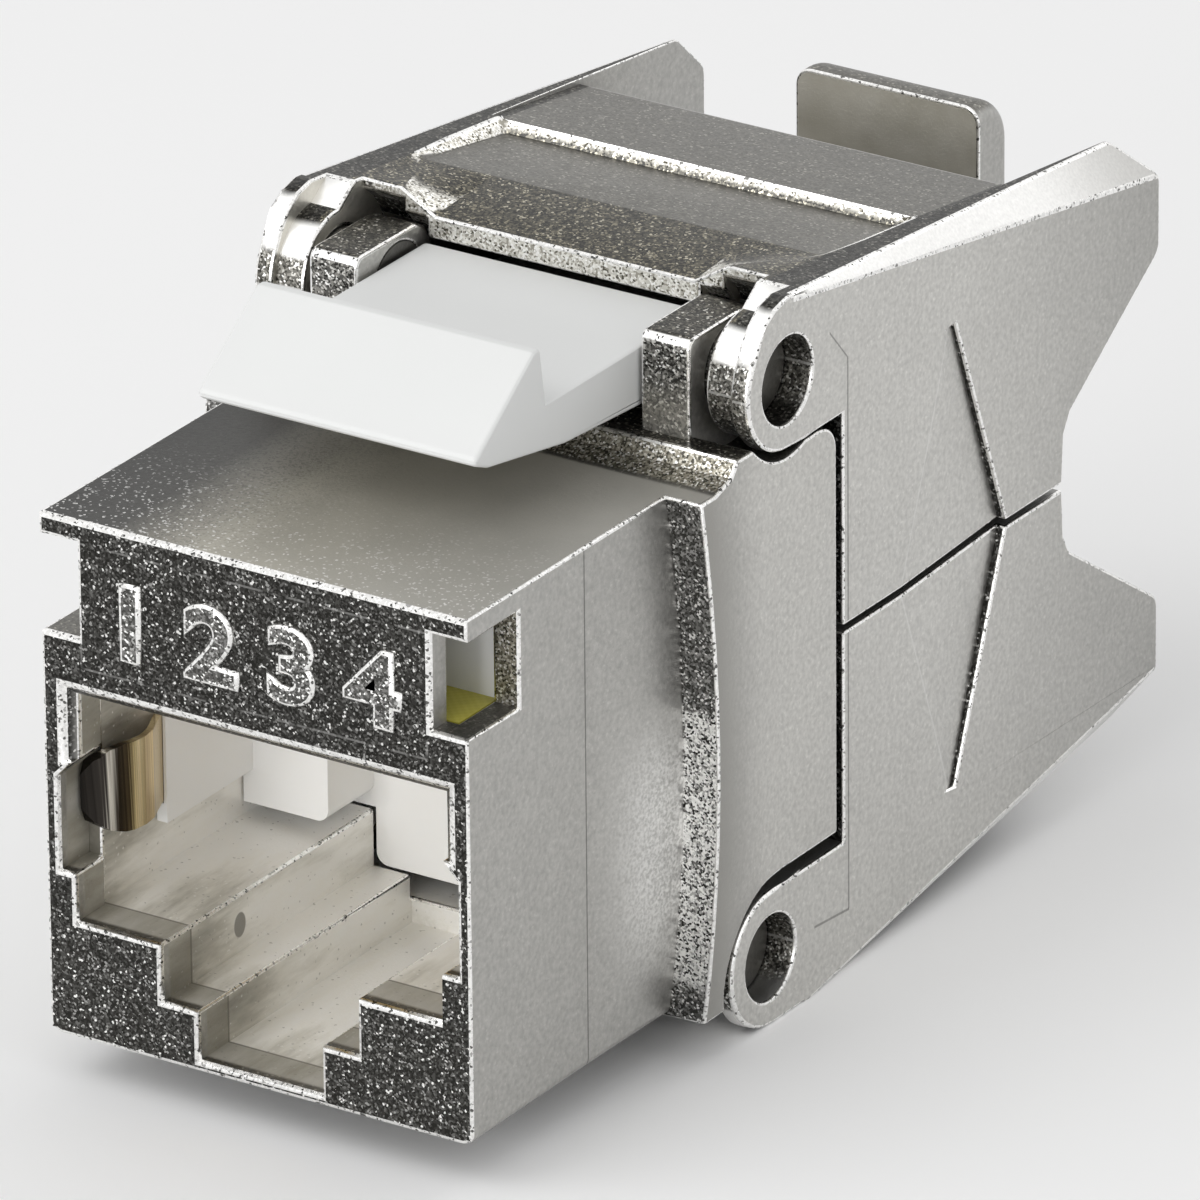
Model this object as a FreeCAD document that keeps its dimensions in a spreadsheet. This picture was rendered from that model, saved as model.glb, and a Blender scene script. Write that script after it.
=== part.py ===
import FreeCAD, Part
import os
import re

from FreeCAD import Vector
from Sketcher import Constraint

# Shielded keystone jack for a four-pair network cable.
# Frame: millimetres, +Z up, +Y from the plug face to the cable end, +X to the right seen from the front.
# Origin: middle of the lower edge of the front face.

doc = FreeCAD.newDocument("keystone_jack")
sheet = doc.addObject("Spreadsheet::Sheet", "dims")

# Driving sizes: name, value, what it is
SIZES = [
    # Front housing, outside
    ("face_width", 14.5, "width of the front face"),
    ("shelf_top", 16.3, "height of the flat shelf over the socket"),
    ("face_wall", 0.9, "thickness of the name plate wall"),
    ("side_wall", 0.9, "side wall of the front part"),
    ("crease_y", 6.0, "where the side walls start to swell"),
    ("step_y", 10.25, "front of the wide rear part"),
    ("step_out", 1.21, "how far the rear part stands out each side"),
    ("front_swell", 0.55, "rise of the swelling in front of the step"),
    ("rear_swell", 0.55, "rise of the swelling behind the step"),
    ("swell_fade", 4.2, "length over which the rear swelling fades"),
    ("housing_rear", 17.44, "rear end of the housing"),
    ("housing_wall", 1.15, "walls of the wide rear part"),
    ("corner_round", 0.9, "rounded rear corners of the side plates"),
    ("bottom_round", 0.4, "rounded long edges of the underside"),
    ("ledge_top", 16.95, "height of the ridge in front of the posts"),
    ("ledge_y", 12.2, "front of that ridge"),
    ("scoop_length", 1.2, "length of the curved rise up to the ridge"),
    ("catch_y", 6.6, "front of the fixed catch under the housing"),
    ("catch_length", 1.2, "length of the fixed catch"),
    ("catch_drop", 0.9, "height of the fixed catch"),
    ("catch_width", 9.0, "width of the fixed catch"),
    ("catch_gap", 0.4, "gap between the catch and the tab slot"),
    # Name plate and its side notches
    ("notch_floor", 12.65, "floor of the two side notches"),
    ("cap_thickness", 0.7, "thickness of the top plate"),
    ("neck_half", 6.0, "half width of the name plate"),
    ("notch_depth", 2.65, "depth of the notches from the front"),
    # Socket
    ("socket_top", 10.7, "ceiling of the plug socket"),
    ("socket_half", 6.25, "half width of the plug socket"),
    ("ledge_floor", 3.7, "floor beside the plug's tab step"),
    ("step_half", 3.35, "half width of the tab step"),
    ("step_floor", 1.9, "floor of the tab step"),
    ("tab_half", 2.1, "half width of the tab slot"),
    ("tab_floor", 0.35, "floor of the tab slot"),
    ("mouth_bevel", 0.38, "bevel round the upper part of the mouth"),
    ("socket_depth", 11.0, "depth of the socket to the contact insert"),
    ("frame_depth", 1.5, "depth of the mouth frame"),
    ("pocket_half", 6.8, "half width at the side pockets"),
    ("pocket_floor", 5.2, "floor of the side pockets"),
    ("pocket_top", 8.7, "top of the side pockets"),
    # Jaws
    ("parting_half", 0.1, "half gap between the jaws"),
    ("jaw_gap", 0.33, "gap between housing and jaws"),
    ("jaw_wall", 1.15, "side wall of a jaw"),
    ("jaw_body_rear", 29.85, "rear face of a jaw's shell"),
    ("jaw_rear_wall", 1.2, "rear wall of a jaw"),
    ("wing_rear", 35.3, "rear end of the side wings"),
    ("wing_wall", 1.0, "thickness of the wings behind the riser"),
    ("rim_wall", 1.26, "width of the rim beside the recess of the panel"),
    ("rim_slope", 0.4, "width of the sloping wall of that recess"),
    ("wing_low", 5.6, "lower rear corner of a wing from the middle plane"),
    ("wing_high", 8.0, "upper rear corner of a wing from the middle plane"),
    ("wing_foot", 2.25, "where a wing leaves the shell, from the middle plane"),
    ("foot_height", 0.6, "height of the curve at a wing's foot"),
    ("foot_bend", 0.1, "how far the foot's curve starts behind the shell"),
    ("foot_reach", 0.45, "how far the wing's foot stands behind the shell"),
    ("crest_front", 11.45, "height of the crest over the hinge from the middle plane"),
    ("crest_rear", 9.4, "rear height of the crest from the middle plane"),
    ("crest_rear_y", 33.8, "rear end of the crest"),
    ("belly_trim", 0.1, "how much lower the lower jaw's crest lies"),
    ("belly_y", 18.1, "where the lower jaw's belly starts to rise"),
    ("wing_round", 0.6, "rounded rear corners of the wings"),
    ("bevel_front", 0.15, "bevel of the crest at its front end"),
    ("bevel_width", 0.95, "bevel width at the rear end"),
    ("bevel_drop", 1.3, "bevel height at the rear end"),
    ("lip_back", 1.29, "front edge of the jaw's panel, from the housing's rear"),
    ("lip_top", 10.6, "top of the panel's front lip from the middle plane"),
    ("lip_bottom", 9.9, "underside of the front lip from the middle plane"),
    ("lip_half", 4.4, "half width of the low part of the lip"),
    ("arch_half", 5.6, "half width where the arches over the posts reach their height"),
    ("arch_wall", 0.35, "thickness of those arches"),
    ("fold_y", 19.2, "fold between the two facets of the panel"),
    ("fold_top", 10.82, "height of the fold from the middle plane"),
    ("riser_y", 23.8, "riser at the rear of the recess"),
    ("riser_top", 10.42, "top of the riser from the middle plane"),
    ("riser_height", 0.32, "height of the riser"),
    ("riser_slope", 0.2, "length of the riser's slope"),
    ("hem_fold_y", 28.5, "fold in front of the panel's rear end"),
    ("hem_fold_top", 9.8, "height of that fold from the middle plane"),
    ("hem_top", 9.25, "rear end of the panel from the middle plane"),
    ("hem_length", 0.3, "how far the panel's rear end lies in front of the shell's rear"),
    ("panel_wall", 1.1, "thickness of the panel"),
    ("cable_hole", 4.1, "radius of the cable hole between the jaws"),
    ("arrow_y", 20.9, "front point of the side arrow"),
    ("arrow_tip_y", 26.7, "rear point of the side arrow"),
    ("arrow_top_y", 23.6, "upper point of the side arrow"),
    ("arrow_height", 7.35, "height of half the arrow"),
    ("arrow_depth", 0.3, "depth of the arrow at its rear edges"),
    ("arrow_point", 0.6, "length of the arrow's upper point"),
    # Tie tongue of the upper jaw
    ("tongue_width", 6.4, "width of the cable tie tongue"),
    ("tongue_low", 4.6, "underside of the tongue from the middle plane"),
    ("tongue_thickness", 1.5, "thickness of the tongue"),
    ("tongue_y", 33.65, "front of the upturned lip"),
    ("tongue_lip", 1.85, "thickness of the upturned lip"),
    ("tongue_top", 9.5, "top of the upturned lip from the middle plane"),
    ("tongue_round", 0.55, "rounded corners of the lip"),
    ("tongue_back_round", 1.45, "rounded rear edge of the lip"),
    ("tongue_foot_round", 0.9, "rounded foot in front of the lip"),
    # Hinges
    ("hinge_rise", 2.18, "upper hinge axis above the shelf"),
    ("lower_hinge_rise", 0.72, "lower hinge axis above the underside"),
    ("upper_hinge_back", 2.6, "upper hinge axis from the housing's rear"),
    ("lower_hinge_back", 3.62, "lower hinge axis from the housing's rear"),
    ("ear_radius", 2.12, "outer radius of the jaw ears"),
    ("ear_width", 1.58, "thickness of a jaw ear"),
    ("ear_rim", 0.62, "thickness of the ear's outer disc"),
    ("hub_radius", 1.88, "radius of the ear's inner hub"),
    ("hub_lean", 1.2, "how far the hub's outer end leans back"),
    ("ear_clearance", 0.25, "gap round an upper ear"),
    ("ear_swing", 0.45, "gap round a lower ear, where the jaw's belly swings past"),
    ("post_inner", 4.85, "inner face of a hinge post"),
    ("post_width", 1.65, "thickness of a hinge post"),
    ("post_reach", 2.14, "front of a post from its hinge axis"),
    ("post_back", 1.75, "rear of a post from its hinge axis"),
    ("post_top", 1.52, "top of a post above its hinge axis"),
    ("post_round", 0.36, "rounded front edge of a post"),
    ("post_back_round", 0.9, "rounded rear edge of an upper post"),
    ("low_post_round", 0.6, "rounded rear edge of a lower post"),
    ("post_clearance", 0.16, "gap between post and jaw"),
    ("pin_radius", 1.28, "radius of a hinge pin"),
    ("pin_clearance", 0.05, "running clearance in the ears"),
    ("boss_wall", 0.7, "metal over the lower pins inside the housing"),
    ("pin_recess", 0.95, "how deep a pin's end lies in the ear"),
    ("spigot_radius", 0.65, "radius of the pin's inner end"),
    ("spigot_length", 0.85, "how far the pin's inner end stands into the latch"),
    # Latch
    ("latch_gap", 0.12, "gap between latch and posts"),
    ("latch_nose_y", 4.35, "front edge of the latch"),
    ("latch_nose_z", 18.8, "lower front edge of the latch"),
    ("latch_nose_height", 0.2, "blunt front edge of the latch"),
    ("latch_chin", 0.7, "length of the bevel under the latch's nose"),
    ("latch_chin_drop", 0.3, "height of that bevel"),
    ("latch_top", 19.4, "top of the latch plate"),
    ("latch_low", 17.55, "underside of the latch at its rear"),
    ("latch_flat_front", 2.0, "flat underside in front of the hinge axis"),
    ("latch_flat_rear", 0.4, "flat underside behind the hinge axis"),
    ("latch_tail_rise", 0.9, "rise of the underside to the latch's rear edge"),
    ("latch_belly_z", 17.8, "underside under the head's rear"),
    ("latch_belly_y", 9.0, "where the underside bends"),
    ("ridge_y", 7.75, "rear of the latch head"),
    ("ridge_z", 21.2, "top of the latch head"),
    ("ridge_flat", 0.35, "flat on top of the head"),
    ("head_lean", 0.3, "lean of the head's rear face"),
    ("latch_rear_gap", 0.05, "gap between the latch and the lip of the upper jaw"),
    ("latch_round", 0.15, "rounded edges of the latch"),
    # Board, insert, contacts and wire blocks
    ("board_top", 12.6, "top of the circuit board"),
    ("board_thickness", 1.0, "thickness of the circuit board"),
    ("board_front", 1.0, "front edge of the circuit board"),
    ("board_rear", 14.4, "rear edge of the circuit board"),
    ("inner_gap", 0.05, "gap of inner pieces to the walls"),
    ("insert_front", 8.6, "front of the insert's side blocks"),
    ("insert_back", 1.2, "thickness of the insert's back wall"),
    ("cheek_front", 4.2, "front of the insert's side cheeks"),
    ("cheek_inner", 5.95, "inner faces of the cheeks"),
    ("insert_seat", 0.45, "gap of the side blocks over the ledges"),
    ("insert_inset", 1.2, "inner faces of the side blocks' upper part, outside the tab step"),
    ("insert_toe", 7.6, "top of the side blocks' wide lower part"),
    ("insert_round", 0.4, "rounded lower corners of the insert"),
    ("comb_gap", 0.15, "gap between the socket's ceiling and the insert's comb"),
    ("wire_pitch", 1.02, "pitch of the contact wires"),
    ("wire_size", 0.36, "thickness of a contact wire"),
    ("wire_lift", 0.1, "height of a contact wire's root over the socket's ceiling"),
    ("wire_root_y", 2.6, "front bend of a contact wire"),
    ("wire_tip_y", 9.9, "rear end of a contact wire"),
    ("wire_tip_z", 8.0, "height of a contact wire's rear end"),
    ("block_front", 2.95, "front of the wire block over the board"),
    ("block_half", 6.2, "half width of its front part"),
    ("block_head_gap", 0.3, "gap over the wire block"),
    ("block_step", 14.4, "front of the block's tall rear part"),
    ("block_rear", 19.6, "rear face of the wire block"),
    ("block_low", 3.0, "underside of the tall rear part"),
    ("block_wide", 6.7, "half width of the tall rear part"),
    ("fork_pitch", 3.3, "pitch of the contact forks"),
    ("fork_rise", 3.6, "height of a fork row from the middle plane"),
    ("fork_height", 3.0, "height of a contact fork"),
    ("fork_thickness", 0.4, "thickness of a contact fork"),
    ("fork_slot", 0.5, "width of the block's slots"),
    ("slot_gap", 0.1, "gap at the ends of a fork in its slot"),
    ("fork_front", 14.7, "front of a contact fork"),
    ("fork_rear", 19.2, "rear end of a contact fork"),
    ("fork_gap", 0.36, "wire gap in a contact fork"),
    ("fork_gap_depth", 2.4, "depth of that gap"),
    ("fork_foot_gap", 0.7, "gap between the insert and a fork's solder foot"),
    ("fork_foot", 0.7, "thickness of a fork's solder foot"),
    ("seat_depth", 2.8, "depth of the wire seats in the block"),
    ("seat_width", 1.3, "width of the wire seats"),
    ("manager_rear", 28.3, "rear face of the wire manager"),
    ("manager_half", 6.7, "half width of the wire manager"),
    ("manager_high", 6.9, "half height of the wire manager at its front"),
    ("manager_low", 5.6, "half height of the wire manager at its rear"),
    ("manager_bore", 3.6, "radius of the wire manager's cable bore"),
    ("manager_wall", 1.6, "front plate of the wire manager"),
    ("way_width", 1.0, "width of the manager's wire ways"),
    ("way_reach", 2.5, "how far the wire ways run behind the front plate"),
    ("spring_thickness", 0.2, "thickness of the shield springs"),
    ("spring_low", 5.95, "lower edge of the shield springs"),
    ("spring_height", 2.75, "height of the shield springs"),
    ("spring_bow", 5.55, "innermost reach of the spring's bow from the middle"),
    ("spring_front", 0.95, "front end of the shield springs"),
    ("spring_bow_y", 2.6, "middle of the spring's bow"),
    ("spring_tail", 1.4, "length of the spring's tail beside the insert's cheek"),
    ("tail_gap", 0.1, "gap between the spring's tail and its slot"),
]

# Sizes that follow from others
DERIVED = {
    "mid_height": "((shelf_top + hinge_rise + lower_hinge_rise) / 2)",
    "hinge_height": "((shelf_top + hinge_rise - lower_hinge_rise) / 2)",
    "upper_hinge_y": "(housing_rear - upper_hinge_back)",
    "lower_hinge_y": "(housing_rear - lower_hinge_back)",
    "lip_y": "(housing_rear - lip_back)",
    "latch_rear_y": "(housing_rear - lip_back - latch_rear_gap)",
    "block_top": "(shelf_top - cap_thickness - block_head_gap)",
    "fork_foot_y": "(socket_depth + insert_back + fork_foot_gap)",
}

for row, (alias, value, note) in enumerate(SIZES, start=1):
    sheet.set(f"A{row}", alias)
    sheet.set(f"B{row}", str(value))
    sheet.setAlias(f"B{row}", alias)
    sheet.set(f"C{row}", note)
doc.recompute()

ALIASES = {entry[0] for entry in SIZES}
WORD = re.compile(r"[a-z_][a-z0-9_]*")


def ex(text):
    """Return an expression in which every size is read from the sheet."""
    full = WORD.sub(lambda hit: DERIVED.get(hit.group(0), hit.group(0)), text)
    return WORD.sub(lambda hit: "dims." + hit.group(0) if hit.group(0) in ALIASES else hit.group(0), full)


def num(text):
    """Return the present value of an expression."""
    return float(sheet.evalExpression(ex(text)))


def polygon(points):
    """A closed outline from pairs of expressions."""
    return ("polygon", points)


def box2(low_u, low_v, high_u, high_v):
    """A rectangle from its low and high corners."""
    return polygon([(low_u, low_v), (high_u, low_v), (high_u, high_v), (low_u, high_v)])


def circle(centre_u, centre_v, radius):
    """A circle from its centre and radius."""
    return ("circle", (centre_u, centre_v, radius))


def bulged(half, low, high, rise):
    """A rectangle about the middle whose two sides are arcs with the given rise."""
    return ("bulged", (half, low, high, rise))


def hub_front(centre_u, centre_v, radius, reach, lean, sign):
    """Everything in front of a hub's front half circle; the outer end leans back by the given amount."""
    return ("hub_front", (centre_u, centre_v, radius, reach, lean, sign))


def fix_along(sketch, kind, geometry, corner, text):
    """Hold one coordinate of a point of the sketch at an expression."""
    index = sketch.addConstraint(Constraint(kind, geometry, corner, num(text)))
    sketch.setExpression(f"Constraints[{index}]", ex(text))


def fix_point(sketch, geometry, corner, u, v):
    """Hold one point of the sketch at two expressions."""
    fix_along(sketch, "DistanceX", geometry, corner, u)
    fix_along(sketch, "DistanceY", geometry, corner, v)


def draw_polygon(sketch, points):
    """Draw straight sides and hold every corner."""
    spots = [Vector(num(u), num(v), 0) for u, v in points]
    count = len(spots)
    first = sketch.GeometryCount
    for index in range(count):
        sketch.addGeometry(Part.LineSegment(spots[index], spots[(index + 1) % count]), False)
    for index in range(count):
        following = first + (index + 1) % count
        sketch.addConstraint(Constraint("Coincident", first + index, 2, following, 1))
    for index, (u, v) in enumerate(points):
        fix_point(sketch, first + index, 1, u, v)


def draw_circle(sketch, data):
    """Draw one circle and hold its centre and radius."""
    centre_u, centre_v, radius = data
    centre = Vector(num(centre_u), num(centre_v), 0)
    index = sketch.addGeometry(Part.Circle(centre, Vector(0, 0, 1), num(radius)))
    fix_point(sketch, index, 3, centre_u, centre_v)
    size = sketch.addConstraint(Constraint("Radius", index, num(radius)))
    sketch.setExpression(f"Constraints[{size}]", ex(radius))


def draw_bulged(sketch, data):
    """Draw a rectangle whose left and right sides bow outwards."""
    half, low, high, rise = data
    middle = f"(({low}) + ({high})) / 2"
    chord = f"(({high}) - ({low}))"
    radius = f"({chord} * {chord} / 4 + ({rise}) * ({rise})) / (2 * ({rise}))"
    wide, bottom, top = num(half), num(low), num(high)
    bow = wide + num(rise)
    right = Part.Arc(Vector(wide, bottom, 0), Vector(bow, num(middle), 0), Vector(wide, top, 0))
    left = Part.Arc(Vector(-wide, top, 0), Vector(-bow, num(middle), 0), Vector(-wide, bottom, 0))
    sides = [
        Part.LineSegment(Vector(-wide, bottom, 0), Vector(wide, bottom, 0)),
        right,
        Part.LineSegment(Vector(wide, top, 0), Vector(-wide, top, 0)),
        left,
    ]
    first = sketch.GeometryCount
    for side in sides:
        sketch.addGeometry(side, False)
    sketch.addConstraint(Constraint("Coincident", first, 2, first + 1, 1))
    sketch.addConstraint(Constraint("Coincident", first + 1, 2, first + 2, 1))
    sketch.addConstraint(Constraint("Coincident", first + 2, 2, first + 3, 1))
    sketch.addConstraint(Constraint("Coincident", first + 3, 2, first, 1))
    fix_point(sketch, first, 1, f"-({half})", low)
    fix_point(sketch, first, 2, half, low)
    fix_point(sketch, first + 2, 1, half, high)
    fix_point(sketch, first + 2, 2, f"-({half})", high)
    for arc in (first + 1, first + 3):
        size = sketch.addConstraint(Constraint("Radius", arc, num(radius)))
        sketch.setExpression(f"Constraints[{size}]", ex(radius))


def draw_hub_front(sketch, data):
    """Draw a half circle towards -u, closed by straight sides round the space in front of it."""
    centre_u, centre_v, radius, reach, lean, sign = data
    out, back = ("+", "-") if sign > 0 else ("-", "+")
    points = [
        (centre_u, f"{centre_v} {out} {radius}"),
        (f"{centre_u} + {lean}", f"{centre_v} {out} {reach}"),
        (f"{centre_u} - {reach}", f"{centre_v} {out} {reach}"),
        (f"{centre_u} - {reach}", f"{centre_v} {back} {reach}"),
        (centre_u, f"{centre_v} {back} {reach}"),
        (centre_u, f"{centre_v} {back} {radius}"),
    ]
    spots = [Vector(num(u), num(v), 0) for u, v in points]
    first = sketch.GeometryCount
    for start, end in zip(spots, spots[1:]):
        sketch.addGeometry(Part.LineSegment(start, end), False)
    middle = Vector(num(centre_u) - num(radius), num(centre_v), 0)
    arc = sketch.addGeometry(Part.Arc(spots[-1], middle, spots[0]), False)
    for index in range(len(points) - 2):
        sketch.addConstraint(Constraint("Coincident", first + index, 2, first + index + 1, 1))
    for index, (u, v) in enumerate(points[:-1]):
        fix_point(sketch, first + index, 1, u, v)
    fix_along(sketch, "DistanceX", arc - 1, 2, centre_u)
    fix_point(sketch, arc, 3, centre_u, centre_v)
    # The arc runs against the clock, so its start lies at the upper end
    upper, lower = ((first, 1), (arc - 1, 2)) if sign > 0 else ((arc - 1, 2), (first, 1))
    sketch.addConstraint(Constraint("Coincident", arc, 1, *upper))
    sketch.addConstraint(Constraint("Coincident", arc, 2, *lower))


DRAW = {"polygon": draw_polygon, "circle": draw_circle, "bulged": draw_bulged, "hub_front": draw_hub_front}


class Piece:
    """One sub-part: a body with sketches on its own origin planes."""

    def __init__(self, label):
        self.body = doc.addObject("PartDesign::Body", label)
        self.body.Label = label
        self.label = label
        self.cuts = []
        self.count = 0

    def sketch(self, plane, offset, outlines):
        """Make a sketch parallel to an origin plane, at an offset along X, Y or Z."""
        self.count += 1
        sketch = self.body.newObject("Sketcher::SketchObject", f"{self.label}_sketch_{self.count}")
        origin = next(item for item in self.body.Origin.OriginFeatures if item.Role == f"{plane}_Plane")
        sketch.AttachmentSupport = [(origin, "")]
        sketch.MapMode = "FlatFace"
        signed = f"-({offset})" if plane == "XZ" else offset
        sketch.setExpression(".AttachmentOffset.Base.z", ex(signed))
        for kind, data in outlines:
            DRAW[kind](sketch, data)
        return sketch

    def pad(self, plane, start, end, outlines):
        """Extrude outlines from start to end along the plane's axis."""
        feature = self.body.newObject("PartDesign::Pad", f"{self.label}_pad_{self.count + 1}")
        feature.Profile = self.sketch(plane, start, outlines)
        feature.setExpression("Length", ex(f"({end}) - ({start})"))
        feature.Reversed = plane == "XZ"
        doc.recompute()
        return feature

    def pocket(self, plane, start, end, outlines, must_cut=True):
        """Cut outlines from start to end along the plane's axis; a pure clearance may cut nothing."""
        feature = self.body.newObject("PartDesign::Pocket", f"{self.label}_pocket_{self.count + 1}")
        feature.Profile = self.sketch(plane, start, outlines)
        feature.setExpression("Length", ex(f"({end}) - ({start})"))
        feature.Reversed = plane != "XZ"
        if must_cut:
            self.cuts.append(feature)
        doc.recompute()
        return feature

    def loft(self, kind, sections, plane="XZ"):
        """Join two or more outlines with straight sides, as an addition or a cut."""
        feature = self.body.newObject(f"PartDesign::{kind}Loft", f"{self.label}_loft_{self.count + 1}")
        sketches = [self.sketch(plane, offset, [outline]) for offset, outline in sections]
        feature.Profile = sketches[0]
        feature.Sections = sketches[1:]
        feature.Ruled = True
        if kind == "Subtractive":
            self.cuts.append(feature)
        doc.recompute()
        return feature

    def dress(self, kind, size, chosen):
        """Round or bevel the edges of the present shape that a test picks."""
        base = self.body.Tip
        names = [f"Edge{n}" for n, edge in enumerate(base.Shape.Edges, start=1) if chosen(edge)]
        if not names:
            raise RuntimeError(f"{self.label}: no edge for {kind}")
        feature = self.body.newObject(f"PartDesign::{kind}", f"{self.label}_{kind.lower()}_{self.count}")
        self.count += 1
        feature.Base = (base, names)
        feature.setExpression("Radius" if kind == "Fillet" else "Size", ex(size))
        doc.recompute()
        return feature


def close_to(value, text):
    """True where a coordinate lies at the value of an expression."""
    return abs(value - num(text)) < 1e-4


def along(edge, axis):
    """True for a straight edge along one axis (0, 1 or 2 for X, Y or Z)."""
    if len(edge.Vertexes) != 2 or edge.Curve.TypeId != "Part::GeomLine":
        return False
    run = edge.Vertexes[1].Point - edge.Vertexes[0].Point
    return abs(abs(run[axis]) - run.Length) < 1e-6


PIECES = []


def piece(label):
    """Start a sub-part and keep it for the checks and the export."""
    made = Piece(label)
    PIECES.append(made)
    return made


# Shared places, as expressions

FACE_HALF = "face_width / 2"
BODY_HALF = "(face_width / 2 + step_out)"
CAVITY_HALF = "(face_width / 2 - side_wall)"
REAR_CAVITY_HALF = f"({BODY_HALF} - housing_wall)"
HUB_INNER = f"({BODY_HALF} - ear_width)"
POST_OUTER = "(post_inner + post_width)"
POST_ROUNDS = {1: "post_back_round", -1: "low_post_round"}
EAR_GAPS = {1: "(ear_radius + ear_clearance)", -1: "(ear_radius + ear_swing)"}
GAP_Y = "(housing_rear + jaw_gap)"
PIN_BORE = "(pin_radius + pin_clearance)"
BOARD_LOW = "(board_top - board_thickness)"
CAP_LOW = "(shelf_top - cap_thickness)"


def level(sign, text):
    """A height that is measured from the middle plane, up for +1 and down for -1."""
    return f"(mid_height {'+' if sign > 0 else '-'} ({text}))"


def build_housing():
    """The die-cast front housing with its socket, side plates and hinge posts."""
    part = piece("front_housing")
    part.pad("XZ", "0", "crease_y", [box2(f"-{FACE_HALF}", "0", FACE_HALF, "shelf_top")])
    part.loft("Additive", [
        ("crease_y", box2(f"-{FACE_HALF}", "0", FACE_HALF, "shelf_top")),
        ("step_y", bulged(FACE_HALF, "0", "shelf_top", "front_swell")),
    ])
    part.dress("Fillet", "bottom_round", lambda edge: close_to(edge.CenterOfMass.z, "0")
               and abs(edge.CenterOfMass.x) > num(FACE_HALF) - 0.1)
    part.loft("Additive", [
        ("step_y", bulged(BODY_HALF, "0", "shelf_top", "rear_swell")),
        ("step_y + swell_fade", box2(f"-{BODY_HALF}", "0", BODY_HALF, "shelf_top")),
    ])
    part.pad("XZ", "step_y + swell_fade", "housing_rear", [
        box2(f"-{BODY_HALF}", "0", BODY_HALF, "shelf_top")])
    part.dress("Fillet", "corner_round", lambda edge: along(edge, 0)
               and close_to(edge.CenterOfMass.y, "housing_rear"))
    # Ridge in front of the upper posts, with a sloping rise
    part.pad("YZ", f"-{BODY_HALF}", BODY_HALF, [polygon([
        ("ledge_y - scoop_length", "shelf_top - 0.3"),
        ("upper_hinge_y", "shelf_top - 0.3"),
        ("upper_hinge_y", "ledge_top"),
        ("ledge_y", "ledge_top"),
        ("ledge_y - 0.3 * scoop_length", "shelf_top + 0.35 * (ledge_top - shelf_top)"),
        ("ledge_y - scoop_length", "shelf_top"),
    ])])
    # Hinge posts above and below
    for sign, hinge_y in ((1, "upper_hinge_y"), (-1, "lower_hinge_y")):
        root = "shelf_top - 0.4" if sign > 0 else "0.4"
        tip = level(sign, "hinge_height + post_top")
        for side in (1, -1):
            start = "post_inner" if side > 0 else f"-{POST_OUTER}"
            end = POST_OUTER if side > 0 else "-post_inner"
            part.pad("YZ", start, end, [box2(
                f"{hinge_y} - post_reach", root if sign > 0 else tip,
                f"{hinge_y} + post_back", tip if sign > 0 else root)])
        rounds = [("post_round", f"{hinge_y} - post_reach"), (POST_ROUNDS[sign], f"{hinge_y} + post_back")]
        for size, place in rounds:
            part.dress("Fillet", size, lambda edge: along(edge, 0) and close_to(edge.CenterOfMass.z, tip)
                       and close_to(edge.CenterOfMass.y, place))
    # Room for the jaw ears: everything outside the posts within the ear's circle
    for sign, hinge_y in ((1, "upper_hinge_y"), (-1, "lower_hinge_y")):
        for start, end in ((POST_OUTER, f"{BODY_HALF} + 2"), (f"-{BODY_HALF} - 2", f"-{POST_OUTER}")):
            part.pocket("YZ", start, end, [circle(hinge_y, level(sign, "hinge_height"), EAR_GAPS[sign])],
                        must_cut=False)
    low_edge = level(-1, "hinge_height - ear_radius - ear_swing")
    for start, end in ((POST_OUTER, f"{BODY_HALF} + 2"), (f"-{BODY_HALF} - 2", f"-{POST_OUTER}")):
        part.pocket("YZ", start, end, [box2("lower_hinge_y", "-1", "housing_rear + 1", low_edge)])
    # Side notches beside the name plate
    part.pocket("XZ", "-1", "notch_depth", [
        box2("neck_half", "notch_floor", f"{FACE_HALF} + 1", CAP_LOW),
        box2(f"-{FACE_HALF} - 1", "notch_floor", "-neck_half", CAP_LOW),
    ])
    # Socket with its stepped floor and side pockets
    half_socket = [
        ("tab_half", "tab_floor"), ("tab_half", "step_floor"), ("step_half", "step_floor"),
        ("step_half", "ledge_floor"), ("socket_half", "ledge_floor"), ("socket_half", "pocket_floor"),
        ("pocket_half", "pocket_floor"), ("pocket_half", "pocket_top - (pocket_half - socket_half)"),
        ("socket_half", "pocket_top"), ("socket_half", "socket_top"),
    ]
    mirrored = [(f"-{u}", v) for u, v in reversed(half_socket)]
    part.pocket("XZ", "-1", "frame_depth", [polygon(half_socket + mirrored)])
    mouth_half = "(socket_half + mouth_bevel)"
    part.loft("Subtractive", [
        ("0", box2(f"-{mouth_half}", "pocket_top", mouth_half, "socket_top + mouth_bevel")),
        ("mouth_bevel", box2("-socket_half", "pocket_top", "socket_half", "socket_top")),
    ])
    inside_top = "socket_top + comb_gap"
    half_inside = [
        ("tab_half", "tab_floor"), ("tab_half", "step_floor"), ("step_half", "step_floor"),
        ("step_half", "ledge_floor"), (CAVITY_HALF, "ledge_floor"), (CAVITY_HALF, inside_top),
    ]
    mirrored = [(f"-{u}", v) for u, v in reversed(half_inside)]
    part.pocket("XZ", "frame_depth - 0.01", "socket_depth + 0.01", [polygon(half_inside + mirrored)])
    # Room for the board, the insert and the wire block
    part.pocket("XZ", "face_wall", "housing_rear + 1", [box2(
        f"-{CAVITY_HALF}", "socket_top", CAVITY_HALF, CAP_LOW)])
    part.pocket("XZ", "socket_depth", "housing_rear + 1", [box2(
        f"-{REAR_CAVITY_HALF}", "housing_wall", REAR_CAVITY_HALF, CAP_LOW)])
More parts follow.
